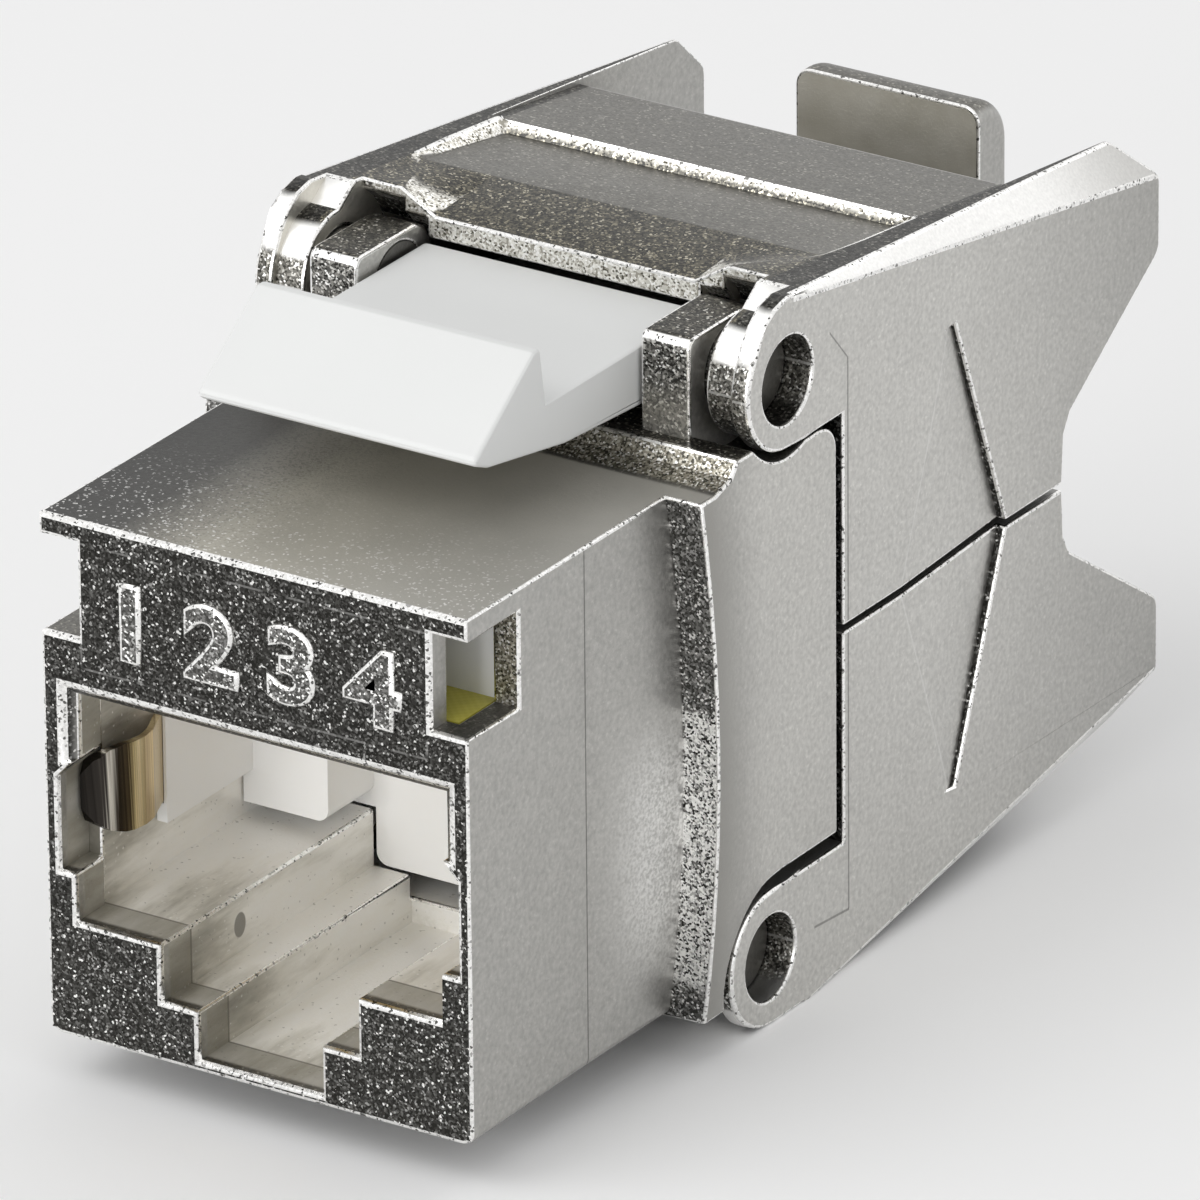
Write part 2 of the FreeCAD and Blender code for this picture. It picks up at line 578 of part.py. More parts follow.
    # Bosses round the lower pins inside, then the pin bores in all four posts
    boss_top = level(-1, "hinge_height - pin_radius - boss_wall")
    for start, end in (("post_inner", POST_OUTER), (f"-{POST_OUTER}", "-post_inner")):
        part.pad("YZ", start, end, [box2(
            "lower_hinge_y - post_reach", "housing_wall - 0.5", "lower_hinge_y + post_reach", boss_top)])
        for sign, hinge_y in ((1, "upper_hinge_y"), (-1, "lower_hinge_y")):
            part.pocket("YZ", start, end, [circle(hinge_y, level(sign, "hinge_height"), "pin_radius")])
    # Fixed catch that hooks behind the panel's lower edge
    part.pad("XY", "-catch_drop", "tab_floor", [
        box2("tab_half + catch_gap", "catch_y", "catch_width / 2", "catch_y + catch_length"),
        box2("-catch_width / 2", "catch_y", "-tab_half - catch_gap", "catch_y + catch_length"),
    ])
    return part


CREST_SLOPE = "((crest_front - crest_rear) / (crest_rear_y - upper_hinge_y))"
TRIMS = {1: "0", -1: "belly_trim"}


def crest_at(sign, place):
    """Height of a jaw's crest line over the middle plane at a place along Y."""
    return f"(crest_front - {TRIMS[sign]} - {CREST_SLOPE} * ({place} - upper_hinge_y))"


def ear_curve(hinge_y):
    """Points of the curve from the upper ear's front up to the crest, from the top down."""
    points = []
    for angle, share in ((90, 1.0), (105, 0.85), (120, 0.5), (135, 0.2), (150, 0.0)):
        reach = f"(ear_radius + {share} * (crest_front - hinge_height - ear_radius))"
        points.append((f"{hinge_y} + {reach} * cos({angle})", f"hinge_height + {reach} * sin({angle})"))
    return points


def wing_outline(sign, hinge_y):
    """Side outline of a jaw from its ear to the rear wing."""
    over_ear = ear_curve(hinge_y) if sign > 0 else [
        ("belly_y", crest_at(sign, "belly_y")), (hinge_y, "hinge_height + ear_radius")]
    points = [
        (GAP_Y, "parting_half"),
        ("jaw_body_rear", "parting_half"),
        ("jaw_body_rear + foot_bend", "wing_foot - foot_height"),
        ("jaw_body_rear + foot_reach", "wing_foot"),
        ("wing_rear", "wing_low"),
        ("wing_rear", "wing_high"),
        ("crest_rear_y", crest_at(sign, "crest_rear_y")),
        *over_ear,
        (hinge_y, "hinge_height"),
        (hinge_y, "hinge_height - ear_radius"),
        (GAP_Y, "hinge_height - ear_radius"),
    ]
    return polygon([(y, level(sign, rise)) for y, rise in points])


def at_level(sign, points):
    """An outline in Y and height from the middle plane."""
    return polygon([(y, level(sign, rise)) for y, rise in points])


def recess_at(sign, place, rim, foot, foot_rise, floor_rise):
    """Cross-section of the panel's recess at one place along Y, open upwards."""
    top = "crest_front + 2"
    rim_top = f"{crest_at(sign, place)} + 0.02"
    right = [("lip_half", floor_rise), (foot, foot_rise), (rim, rim_top), (rim, top)]
    left = [(f"-{u}", rise) for u, rise in reversed(right)]
    return place, polygon([(u, level(sign, rise)) for u, rise in right + left])


def crest_bevel(side, sign, place, width, drop):
    """Cross-section of what the crest bevel takes off a wing at one place along Y."""
    crest = crest_at(sign, place)
    points = [
        (f"{BODY_HALF} - {width}", crest), (BODY_HALF, f"{crest} - {drop}"),
        (f"{BODY_HALF} + 1", f"{crest} - {drop} - 0.5"), (f"{BODY_HALF} + 1", f"{crest} + 1"),
        (f"{BODY_HALF} - {width}", f"{crest} + 1"),
    ]
    return place, polygon([(f"{side}({u})", level(sign, rise)) for u, rise in points])


def arrow_at(side, sign, rise, front, rear, depth):
    """Cross-section of a side arrow at one height, flush in front and deepest behind."""
    points = [(BODY_HALF, front), (f"{BODY_HALF} + 0.2", front), (f"{BODY_HALF} + 0.2", rear),
              (f"{BODY_HALF} - {depth}", rear)]
    return level(sign, rise), polygon([(f"{side}({u})", v) for u, v in points])


def build_jaw(label, sign, hinge_y, with_tongue):
    """One of the two rear shells: side wings, sunk panel, rear wall with half a cable hole, two ears."""
    part = piece(label)
    part.pad("YZ", f"-{BODY_HALF}", BODY_HALF, [wing_outline(sign, hinge_y)])
    part.pad("YZ", f"-{BODY_HALF}", BODY_HALF, [circle(hinge_y, level(sign, "hinge_height"), "ear_radius")])
    part.dress("Fillet", "wing_round", lambda edge: along(edge, 0)
               and edge.CenterOfMass.y > num("crest_rear_y") - 0.01)
    # Open front between the ears
    part.pocket("YZ", f"-{HUB_INNER}", HUB_INNER, [at_level(sign, [
        ("0", "-1"), ("lip_y", "-1"), ("lip_y", "crest_front + 2"), ("0", "crest_front + 2")])])
    # Recess of the panel from the lip over the fold to the riser, with arches over the posts
    rim_inner = f"({BODY_HALF} - rim_wall)"
    foot_half = f"({BODY_HALF} - rim_wall - rim_slope)"
    part.loft("Subtractive", [
        recess_at(sign, "lip_y", rim_inner, "arch_half", crest_at(sign, "lip_y"), "lip_top"),
        recess_at(sign, "fold_y", rim_inner, foot_half, "fold_top", "fold_top"),
        recess_at(sign, "riser_y - riser_slope", rim_inner, foot_half,
                  "riser_top - riser_height", "riser_top - riser_height"),
        recess_at(sign, "riser_y", rim_inner, foot_half, "riser_top", "riser_top"),
    ])
    # Panel behind the riser and everything between the rear wings
    wing_inner = f"({BODY_HALF} - wing_wall)"
    part.pocket("YZ", f"-{wing_inner}", wing_inner, [at_level(sign, [
        ("riser_y", "riser_top"), ("hem_fold_y", "hem_fold_top"),
        ("jaw_body_rear - hem_length", "hem_top"), ("jaw_body_rear + 0.2", "hem_top - 0.5"),
        ("jaw_body_rear + 0.2", "-1"), ("wing_rear + 1", "-1"),
        ("wing_rear + 1", "crest_front + 2"), ("riser_y", "crest_front + 2")])])
    # Inside of the shell
    inner_half = f"({BODY_HALF} - jaw_wall)"
    inner_rear = "jaw_body_rear - jaw_rear_wall"
    part.pocket("YZ", f"-{inner_half}", inner_half, [at_level(sign, [
        (GAP_Y, "-1"), (inner_rear, "-1"), (inner_rear, "hem_top - panel_wall"),
        ("fold_y", "fold_top - panel_wall"), (GAP_Y, "lip_bottom - 0.1")])])
    part.pocket("YZ", f"-{HUB_INNER}", HUB_INNER, [at_level(sign, [
        ("lip_y - 0.01", "-1"), (f"{GAP_Y} + 0.01", "-1"), (f"{GAP_Y} + 0.01", "lip_bottom - 0.1"),
        ("lip_y - 0.01", "lip_bottom")])])
    # Clearance over the hinge posts, then the hollow under the arches
    corner = POST_ROUNDS[sign]
    swing = f"(sqrt((post_back - {corner})^2 + (post_top - {corner})^2) + {corner} + post_clearance)"
    under_arch = f"({crest_at(sign, 'lip_y')} - arch_wall - hinge_height)"
    hollow = f"(sqrt((lip_y - {hinge_y})^2 + {under_arch}^2))"
    for near, radius in (("post_inner - post_clearance", swing), ("arch_half - 0.1", hollow)):
        for start, end in ((near, HUB_INNER), (f"-{HUB_INNER}", f"-({near})")):
            part.pocket("YZ", start, end, [circle(hinge_y, level(sign, "hinge_height"), radius)],
                        must_cut=False)
    # Stepped inner hub of each ear
    disc_inner = f"({BODY_HALF} - ear_rim)"
    for start, end in ((HUB_INNER, disc_inner), (f"-{disc_inner}", f"-{HUB_INNER}")):
        part.pocket("YZ", start, end, [hub_front(
            hinge_y, level(sign, "hinge_height"), "hub_radius", "(ear_radius + 0.6)", "hub_lean", sign)])
    # Cable hole shared by the two jaws
    part.pocket("XZ", f"{inner_rear} - 0.1", "jaw_body_rear + 1", [
        circle("0", "mid_height", "cable_hole")])
    # Hinge bores
    part.pocket("YZ", f"-{BODY_HALF} - 1", f"{BODY_HALF} + 1",
                [circle(hinge_y, level(sign, "hinge_height"), PIN_BORE)])
    # Bevel along the outer edge of each wing's crest, narrow at the ear and wide at the rear
    for side in ("", "-"):
        part.loft("Subtractive", [
            crest_bevel(side, sign, f"({hinge_y} + 0.4)", "bevel_front", "bevel_front"),
            crest_bevel(side, sign, "(wing_rear + 1)", "bevel_width", "bevel_drop"),
        ])
    # Side arrows: wedges that are flush at the front edges and deepest at the rear edges
    for side in ("", "-"):
        part.loft("Subtractive", [
            arrow_at(side, sign, "parting_half - 0.05", "arrow_y", "arrow_tip_y", "arrow_depth"),
            arrow_at(side, sign, "arrow_height", "arrow_top_y - arrow_point / 2",
                     "arrow_top_y + arrow_point / 2", "arrow_depth * 0.6"),
        ], plane="XY")
    if with_tongue:
        tongue = polygon([
            ("jaw_body_rear - 0.5", level(sign, "tongue_low")),
            ("tongue_y + tongue_lip", level(sign, "tongue_low")),
            ("tongue_y + tongue_lip", level(sign, "tongue_top")),
            ("tongue_y", level(sign, "tongue_top")),
            ("tongue_y", level(sign, "tongue_low + tongue_thickness")),
            ("jaw_body_rear - 0.5", level(sign, "tongue_low + tongue_thickness")),
        ])
        part.pad("YZ", "-tongue_width / 2", "tongue_width / 2", [tongue])
        part.dress("Fillet", "tongue_foot_round", lambda edge: along(edge, 0)
                   and close_to(edge.CenterOfMass.z, level(sign, "tongue_low + tongue_thickness"))
                   and close_to(edge.CenterOfMass.y, "tongue_y"))
        part.dress("Fillet", "tongue_back_round", lambda edge: along(edge, 0)
                   and close_to(edge.CenterOfMass.z, level(sign, "tongue_top"))
                   and close_to(edge.CenterOfMass.y, "tongue_y + tongue_lip"))
        part.dress("Fillet", "tongue_round", lambda edge: not along(edge, 0)
                   and close_to(abs(edge.CenterOfMass.x), "tongue_width / 2")
                   and edge.CenterOfMass.y > num("tongue_y + 0.05")
                   and edge.CenterOfMass.z > num(level(sign, "tongue_top - tongue_back_round + 0.1")))
    return part


def build_latch():
    """The plastic latch with its wedge head, swinging on the inner ends of the upper pins."""
    part = piece("keystone_latch")
    half = "(post_inner - latch_gap)"
    hinge_z = level(1, "hinge_height")
    part.pad("YZ", f"-{half}", half, [polygon([
        ("latch_nose_y", "latch_nose_z"),
        ("latch_nose_y + latch_chin", "latch_nose_z - latch_chin_drop"),
        ("latch_belly_y", "latch_belly_z"),
        ("upper_hinge_y - latch_flat_front", "latch_low"),
        ("upper_hinge_y + latch_flat_rear", "latch_low"),
        ("latch_rear_y", "latch_low + latch_tail_rise"),
        ("latch_rear_y", "latch_top"),
        ("ridge_y + head_lean", "latch_top"),
        ("ridge_y", "ridge_z"),
        ("ridge_y - ridge_flat", "ridge_z"),
        ("latch_nose_y", "latch_nose_z + latch_nose_height"),
    ])])
    part.dress("Fillet", "latch_round", lambda edge: along(edge, 0)
               and close_to(edge.CenterOfMass.z, "ridge_z"))
    depth = "(spigot_length + inner_gap)"
    for start, end in ((f"{half} - {depth} + latch_gap", f"{half} + 1"),
                       (f"-{half} - 1", f"-{half} + {depth} - latch_gap")):
        part.pocket("YZ", start, end, [circle("upper_hinge_y", hinge_z, "spigot_radius + pin_clearance")])
    return part


def build_pins():
    """Four hinge pins; the upper two carry the latch on thinner inner ends."""
    for row, sign, hinge_y in (("upper", 1, "upper_hinge_y"), ("lower", -1, "lower_hinge_y")):
        for name, side in (("left", -1), ("right", 1)):
            part = piece(f"{row}_hinge_pin_{name}")
            outer = f"({BODY_HALF} - pin_recess)"
            spans = [("post_inner", outer, "pin_radius")]
            if sign > 0:
                spans.append(("post_inner - spigot_length", "post_inner", "spigot_radius"))
            for near, far, radius in spans:
                start, end = (near, far) if side > 0 else (f"-({far})", f"-({near})")
                part.pad("YZ", start, end, [circle(hinge_y, level(sign, "hinge_height"), radius)])


def build_insert():
    """The plastic contact insert: ceiling comb, side cheeks, side blocks and back wall."""
    part = piece("contact_insert")
    wide = f"({CAVITY_HALF} - inner_gap)"
    low = "(ledge_floor + insert_seat)"
    wall_low = "(ledge_floor + inner_gap)"
    foot_half = "(step_half - inner_gap)"
    foot_low = "(step_floor + inner_gap)"
    back_rear = "(socket_depth + insert_back)"
    ceiling_low = "(socket_top + comb_gap)"
    cheek_low = "(pocket_floor + inner_gap)"
    part.pad("XZ", "socket_depth", back_rear, [box2(f"-{wide}", wall_low, wide, BOARD_LOW)])
    part.pad("XZ", "socket_depth", back_rear, [box2(f"-{foot_half}", foot_low, foot_half, wall_low)])
    part.dress("Fillet", "insert_round", lambda edge: along(edge, 1)
               and close_to(edge.CenterOfMass.z, foot_low))
    part.pad("XZ", "face_wall + inner_gap", back_rear, [box2(f"-{wide}", ceiling_low, wide, BOARD_LOW)])
    part.pad("XZ", "cheek_front", back_rear, [
        box2("cheek_inner", cheek_low, wide, BOARD_LOW),
        box2(f"-{wide}", cheek_low, "-cheek_inner", BOARD_LOW),
    ])
    part.pad("XZ", "insert_front", back_rear, [
        box2("step_half + insert_inset", low, wide, BOARD_LOW),
        box2(f"-{wide}", low, "-step_half - insert_inset", BOARD_LOW),
    ])
    part.pad("XZ", "insert_front", back_rear, [
        box2("step_half", low, wide, "insert_toe"),
        box2(f"-{wide}", low, "-step_half", "insert_toe"),
    ])
    part.dress("Fillet", "insert_round", lambda edge: along(edge, 1)
               and close_to(edge.CenterOfMass.z, low)
               and close_to(abs(edge.CenterOfMass.x), "step_half"))
    # Slots beside the cheeks for the tails of the shield springs
    slot = [
        ("cheek_inner + tail_gap", "cheek_front - 0.1"),
        (f"{wide} + 0.1", "cheek_front - 0.1"),
        (f"{wide} + 0.1", "cheek_front + spring_tail + tail_gap"),
        ("cheek_inner + tail_gap", "cheek_front + spring_tail + tail_gap"),
    ]
    for side in ("", "-"):
        part.pocket("XY", "spring_low - tail_gap", "spring_low + spring_height + tail_gap", [
            polygon([(f"{side}({u})", v) for u, v in slot])])
    # Slots in the ceiling for the contact wires
    slots = []
    for index in range(8):
        place = f"({index} - 3.5) * wire_pitch"
        slots.append(box2(f"{place} - wire_size", "wire_root_y - 0.5",
                          f"{place} + wire_size", "wire_tip_y + 0.6"))
    part.pocket("XY", "socket_top - 1", f"{BOARD_LOW} + 1", slots)
    return part


def build_contact_wires():
    """Eight sprung contact wires that hang from the board into the socket."""
    half = "wire_size / 2"
    for index in range(8):
        part = piece(f"contact_wire_{index + 1}")
        place = f"(({index} - 3.5) * wire_pitch)"
        part.pad("YZ", f"{place} - {half}", f"{place} + {half}", [polygon([
            ("wire_root_y", BOARD_LOW),
            ("wire_root_y", "socket_top + wire_lift"),
            ("wire_tip_y", "wire_tip_z"),
            ("wire_tip_y", "wire_tip_z + wire_size"),
            ("wire_root_y + wire_size", "socket_top + wire_lift + 0.8 * wire_size"),
            ("wire_root_y + wire_size", BOARD_LOW),
        ])])


def build_board():
    """The circuit board over the socket."""
    part = piece("circuit_board")
    wide = f"({CAVITY_HALF} - inner_gap)"
    part.pad("XY", BOARD_LOW, "board_top", [box2(f"-{wide}", "board_front", wide, "board_rear")])


def build_wire_block():
    """The plastic block that holds the insulation-piercing forks, with a front part over the board."""
    part = piece("idc_block")
    part.pad("XZ", "block_step", "block_rear", [
        box2("-block_wide", "block_low", "block_wide", "block_top")])
    part.pad("XZ", "block_front", "block_step", [
        box2("-block_half", "board_top", "block_half", "block_top")])
    # Fork slots and wire seats
    columns = [f"({index} - 1.5) * fork_pitch" for index in range(4)]
    row_low = level(-1, "fork_rise + fork_height / 2 + slot_gap")
    row_high = level(1, "fork_rise + fork_height / 2 + slot_gap")
    part.pocket("XZ", "fork_foot_y - slot_gap", "block_rear + 1", [
        box2(f"{place} - fork_slot / 2", row_low, f"{place} + fork_slot / 2", row_high) for place in columns])
    for sign in (1, -1):
        low = level(sign, "fork_rise") + " - seat_width / 2"
        high = level(sign, "fork_rise") + " + seat_width / 2"
        part.pocket("XZ", "block_rear - seat_depth", "block_rear + 1", [
            box2(f"{place} - seat_width / 2", low, f"{place} + seat_width / 2", high) for place in columns])
    return part


def build_forks():
    """Eight slotted contact forks with solder feet, four over the board and four under it."""
    columns = [f"(({index} - 1.5) * fork_pitch)" for index in range(4)]
    half_gap = "fork_gap / 2"
    for row, sign in enumerate((1, -1)):
        rise = "-" if sign < 0 else "+"
        fall = "+" if sign < 0 else "-"
        centre = level(sign, "fork_rise")
        inner = f"({centre} {fall} fork_height / 2)"
        outer = f"({centre} {rise} fork_height / 2)"
        board_face = "board_top" if sign > 0 else BOARD_LOW
        foot_edge = f"({board_face} {rise} fork_foot)"
        foot = [("fork_front", foot_edge), ("fork_foot_y", foot_edge), ("fork_foot_y", board_face)]
        if sign > 0:
            foot += [("board_rear + inner_gap", board_face), ("board_rear + inner_gap", inner)]
        else:
            foot += [("fork_front + fork_foot", board_face), ("fork_front + fork_foot", inner)]
        tines = [
            ("fork_rear", inner), ("fork_rear", f"{centre} {fall} {half_gap}"),
            ("fork_rear - fork_gap_depth", f"{centre} {fall} {half_gap}"),
            ("fork_rear - fork_gap_depth", f"{centre} {rise} {half_gap}"),
            ("fork_rear", f"{centre} {rise} {half_gap}"), ("fork_rear", outer), ("fork_front", outer),
        ]
        for index, place in enumerate(columns):
            part = piece(f"idc_contact_{row * 4 + index + 1}")
            part.pad("YZ", f"{place} - fork_thickness / 2", f"{place} + fork_thickness / 2",
                     [polygon(foot + tines)])


def build_manager():
    """The wire manager: a tapered plastic cap with the cable bore and wire ways."""
    part = piece("wire_manager")
    part.loft("Additive", [
        (place, box2("-manager_half", level(-1, half_height), "manager_half", level(1, half_height)))
        for place, half_height in (("block_rear", "manager_high"), ("manager_rear", "manager_low"))])
    part.pocket("XZ", "block_rear + manager_wall", "manager_rear + 1", [
        circle("0", "mid_height", "manager_bore")])
    columns = [f"({index} - 1.5) * fork_pitch" for index in range(4)]
    for sign in (1, -1):
        low = level(sign, "fork_rise") + " - way_width / 2"
        high = level(sign, "fork_rise") + " + way_width / 2"
        part.pocket("XZ", "block_rear - 0.5", "block_rear + manager_wall + way_reach", [
            box2(f"{place} - way_width / 2", low, f"{place} + way_width / 2", high) for place in columns])
    return part


def build_springs():
    """Two bowed shield springs at the sides of the socket, held by their tails beside the cheeks."""
    wall = f"({CAVITY_HALF} - inner_gap)"
    thick = "spring_thickness"
    top = "(spring_low + spring_height)"
    bow = [
        ("pocket_half - 0.1", "spring_front"), ("spring_bow + 0.62", "spring_front + 0.3"),
        ("spring_bow + 0.3", "spring_bow_y - 0.95"), ("spring_bow + 0.07", "spring_bow_y - 0.5"),
        ("spring_bow", "spring_bow_y"), ("spring_bow + 0.07", "spring_bow_y + 0.5"),
        ("spring_bow + 0.26", "spring_bow_y + 0.95"), (f"{wall} - {thick}", "cheek_front + 0.1"),
        (f"{wall} - {thick}", "cheek_front + spring_tail"),
    ]
    back = [
        (wall, "cheek_front + spring_tail"), (wall, "cheek_front"),
        (f"spring_bow + 0.26 + 0.8 * {thick}", f"spring_bow_y + 0.95 - 0.55 * {thick}"),
        (f"spring_bow + 0.07 + {thick}", f"spring_bow_y + 0.5 - 0.2 * {thick}"),
        (f"spring_bow + {thick}", "spring_bow_y"),
        (f"spring_bow + 0.07 + {thick}", f"spring_bow_y - 0.5 + 0.2 * {thick}"),
        (f"spring_bow + 0.3 + 0.8 * {thick}", f"spring_bow_y - 0.95 + 0.6 * {thick}"),
        (f"spring_bow + 0.62 + 0.7 * {thick}", f"spring_front + 0.3 + 0.75 * {thick}"),
        ("pocket_half - 0.1", f"spring_front + {thick}"),
    ]
    # Corner that is taken off at the rounded front end, in Y and height from the spring's edge
    rounding = [
        ("-0.1", "0.1"), ("0.9", "0.1"), ("0.9", "0"), ("0.5", "-0.12"), ("0.2", "-0.4"), ("0", "-0.85"),
        ("-0.1", "-0.85"),
    ]
    for name, side in (("left", "-"), ("right", "")):
        part = piece(f"shield_spring_{name}")
        part.pad("XY", "spring_low", top, [
            polygon([(f"{side}({reach})", place) for reach, place in bow + back])])
        start, end = ("spring_bow", "pocket_half") if side == "" else ("-pocket_half", "-spring_bow")
        part.pocket("YZ", start, end, [
            polygon([(f"spring_front + {place}", f"{top} + {rise}") for place, rise in rounding])])
        part.pocket("YZ", start, end, [
            polygon([(f"spring_front + {place}", f"spring_low - ({rise})") for place, rise in rounding])])


build_housing()
build_jaw("upper_jaw", 1, "upper_hinge_y", True)
build_jaw("lower_jaw", -1, "lower_hinge_y", False)
build_latch()
build_pins()
build_insert()
build_contact_wires()
build_board()
build_wire_block()
build_forks()
build_manager()
build_springs()
doc.recompute()

# Checks before anything is written
for item in doc.Objects:
    if "Invalid" in item.State or "Error" in item.State:
        raise RuntimeError(f"{item.Name} failed: {item.State}")
for made in PIECES:
    shape = made.body.Shape
    if shape.isNull() or not shape.isValid() or len(shape.Solids) < 1:
        raise RuntimeError(f"{made.label} has no valid solid")
    for cut in made.cuts:
        if cut.Shape.Volume >= cut.BaseFeature.Shape.Volume - 1e-6:
            raise RuntimeError(f"{cut.Name} removes nothing")

os.makedirs("parts", exist_ok=True)
for made in PIECES:
    made.body.Shape.exportStep(f"parts/{made.label}.step")
    box = made.body.Shape.BoundBox
    print(f"{made.label}: {len(made.body.Shape.Solids)} solid, x {box.XMin:.2f}..{box.XMax:.2f} "
          f"y {box.YMin:.2f}..{box.YMax:.2f} z {box.ZMin:.2f}..{box.ZMax:.2f}")
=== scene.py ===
"""Looks of a shielded keystone jack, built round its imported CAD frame."""

import logging
import math
from dataclasses import dataclass, field
from enum import Enum
from typing import Any, Callable, ClassVar, Mapping, Sequence, Union

import bmesh
import bpy
from mathutils import Matrix, Vector


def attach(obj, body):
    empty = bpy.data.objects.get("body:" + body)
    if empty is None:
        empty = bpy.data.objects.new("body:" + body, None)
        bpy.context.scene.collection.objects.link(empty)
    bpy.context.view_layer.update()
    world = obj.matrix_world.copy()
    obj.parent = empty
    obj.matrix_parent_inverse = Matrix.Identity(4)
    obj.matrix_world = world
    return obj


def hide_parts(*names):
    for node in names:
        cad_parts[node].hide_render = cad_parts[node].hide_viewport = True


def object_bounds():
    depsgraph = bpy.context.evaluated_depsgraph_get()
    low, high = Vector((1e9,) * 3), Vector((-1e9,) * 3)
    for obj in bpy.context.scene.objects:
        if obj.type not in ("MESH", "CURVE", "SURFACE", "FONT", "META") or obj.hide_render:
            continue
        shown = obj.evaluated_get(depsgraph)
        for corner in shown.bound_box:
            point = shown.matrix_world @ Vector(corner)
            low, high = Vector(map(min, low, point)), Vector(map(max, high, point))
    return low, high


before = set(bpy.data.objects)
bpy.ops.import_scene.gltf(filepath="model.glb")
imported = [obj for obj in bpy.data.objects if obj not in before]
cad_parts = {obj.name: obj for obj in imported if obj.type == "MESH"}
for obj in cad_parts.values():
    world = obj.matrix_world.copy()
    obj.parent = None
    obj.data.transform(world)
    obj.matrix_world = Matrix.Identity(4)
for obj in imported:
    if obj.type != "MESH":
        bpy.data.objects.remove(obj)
cad_box = [list(corner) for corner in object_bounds()]

MM = 0.001
SCREEN_FULL = 255
TOE_END, TOE_SLOPE = 0.04045, 12.92
CURVE_LIFT, CURVE_POWER = 0.055, 2.4
BRIGHTEST = 254.0
MIX_SHARE, MIX_FIRST, MIX_SECOND, MIX_COLOUR = 0, 6, 7, 2
LINE_CORE = 0.6
FINE_SIZE = 0.16
log = logging.getLogger("keystone_jack")

Colour = tuple[float, float, float, float]
Stops = Sequence[tuple[float, Colour]]
Speckle = Sequence[tuple[float, float, float]]
Value = Union["Wire", float, Sequence[float]]
Key = Union[int, str]
Sockets = dict[Key, Value]


def tone(red: float, green: float, blue: float) -> Colour:
    """Turn a screen colour into the linear one that a shader takes.

    Args:
        red: red from 0 to 255 as a screen shows it.
        green: green from 0 to 255.
        blue: blue from 0 to 255.

    Returns:
        The linear colour with full alpha.
    """
    linear = []
    for part in (red, green, blue):
        share = part / SCREEN_FULL
        if share <= TOE_END:
            linear.append(share / TOE_SLOPE)
        else:
            linear.append(((share + CURVE_LIFT) / (1 + CURVE_LIFT)) ** CURVE_POWER)
    return linear[0], linear[1], linear[2], 1.0


def grey(level: float, warmth: float = 3.0) -> Colour:
    """Make a slightly warm grey from a screen level.

    Args:
        level: brightness from 0 to 255 as a screen shows it.
        warmth: how far blue lies under red.

    Returns:
        The linear colour with full alpha.
    """
    return tone(level, level - warmth / 4, level - warmth)


@dataclass(frozen=True)
class Wire:
    """One output of a shader graph, with arithmetic."""

    graph: "Graph"
    socket: bpy.types.NodeSocket

    def _maths(self, operation: str, first: Value, second: Value) -> "Wire":
        """Add one Math node and return its result."""
        return self.graph.node("ShaderNodeMath", {"operation": operation}, {0: first, 1: second})[0]

    def __add__(self, other: Value) -> "Wire":
        """Return the sum."""
        return self._maths("ADD", self, other)

    def __radd__(self, other: Value) -> "Wire":
        """Return the sum."""
        return self._maths("ADD", other, self)

    def __sub__(self, other: Value) -> "Wire":
        """Return the difference."""
        return self._maths("SUBTRACT", self, other)

    def __rsub__(self, other: Value) -> "Wire":
        """Return the difference the other way round."""
        return self._maths("SUBTRACT", other, self)

    def __mul__(self, other: Value) -> "Wire":
        """Return the product."""
        return self._maths("MULTIPLY", self, other)

    def __rmul__(self, other: Value) -> "Wire":
        """Return the product."""
        return self._maths("MULTIPLY", other, self)

    def __truediv__(self, other: Value) -> "Wire":
        """Return the quotient."""
        return self._maths("DIVIDE", self, other)

    def __neg__(self) -> "Wire":
        """Return the value with its sign changed."""
        return self._maths("MULTIPLY", self, -1.0)


@dataclass(frozen=True)
class Made:
    """The outputs of one new node."""

    graph: "Graph"
    node: bpy.types.Node

    def __getitem__(self, key: Key) -> Wire:
        """Return one output by its place or name."""
        return Wire(self.graph, self.node.outputs[key])


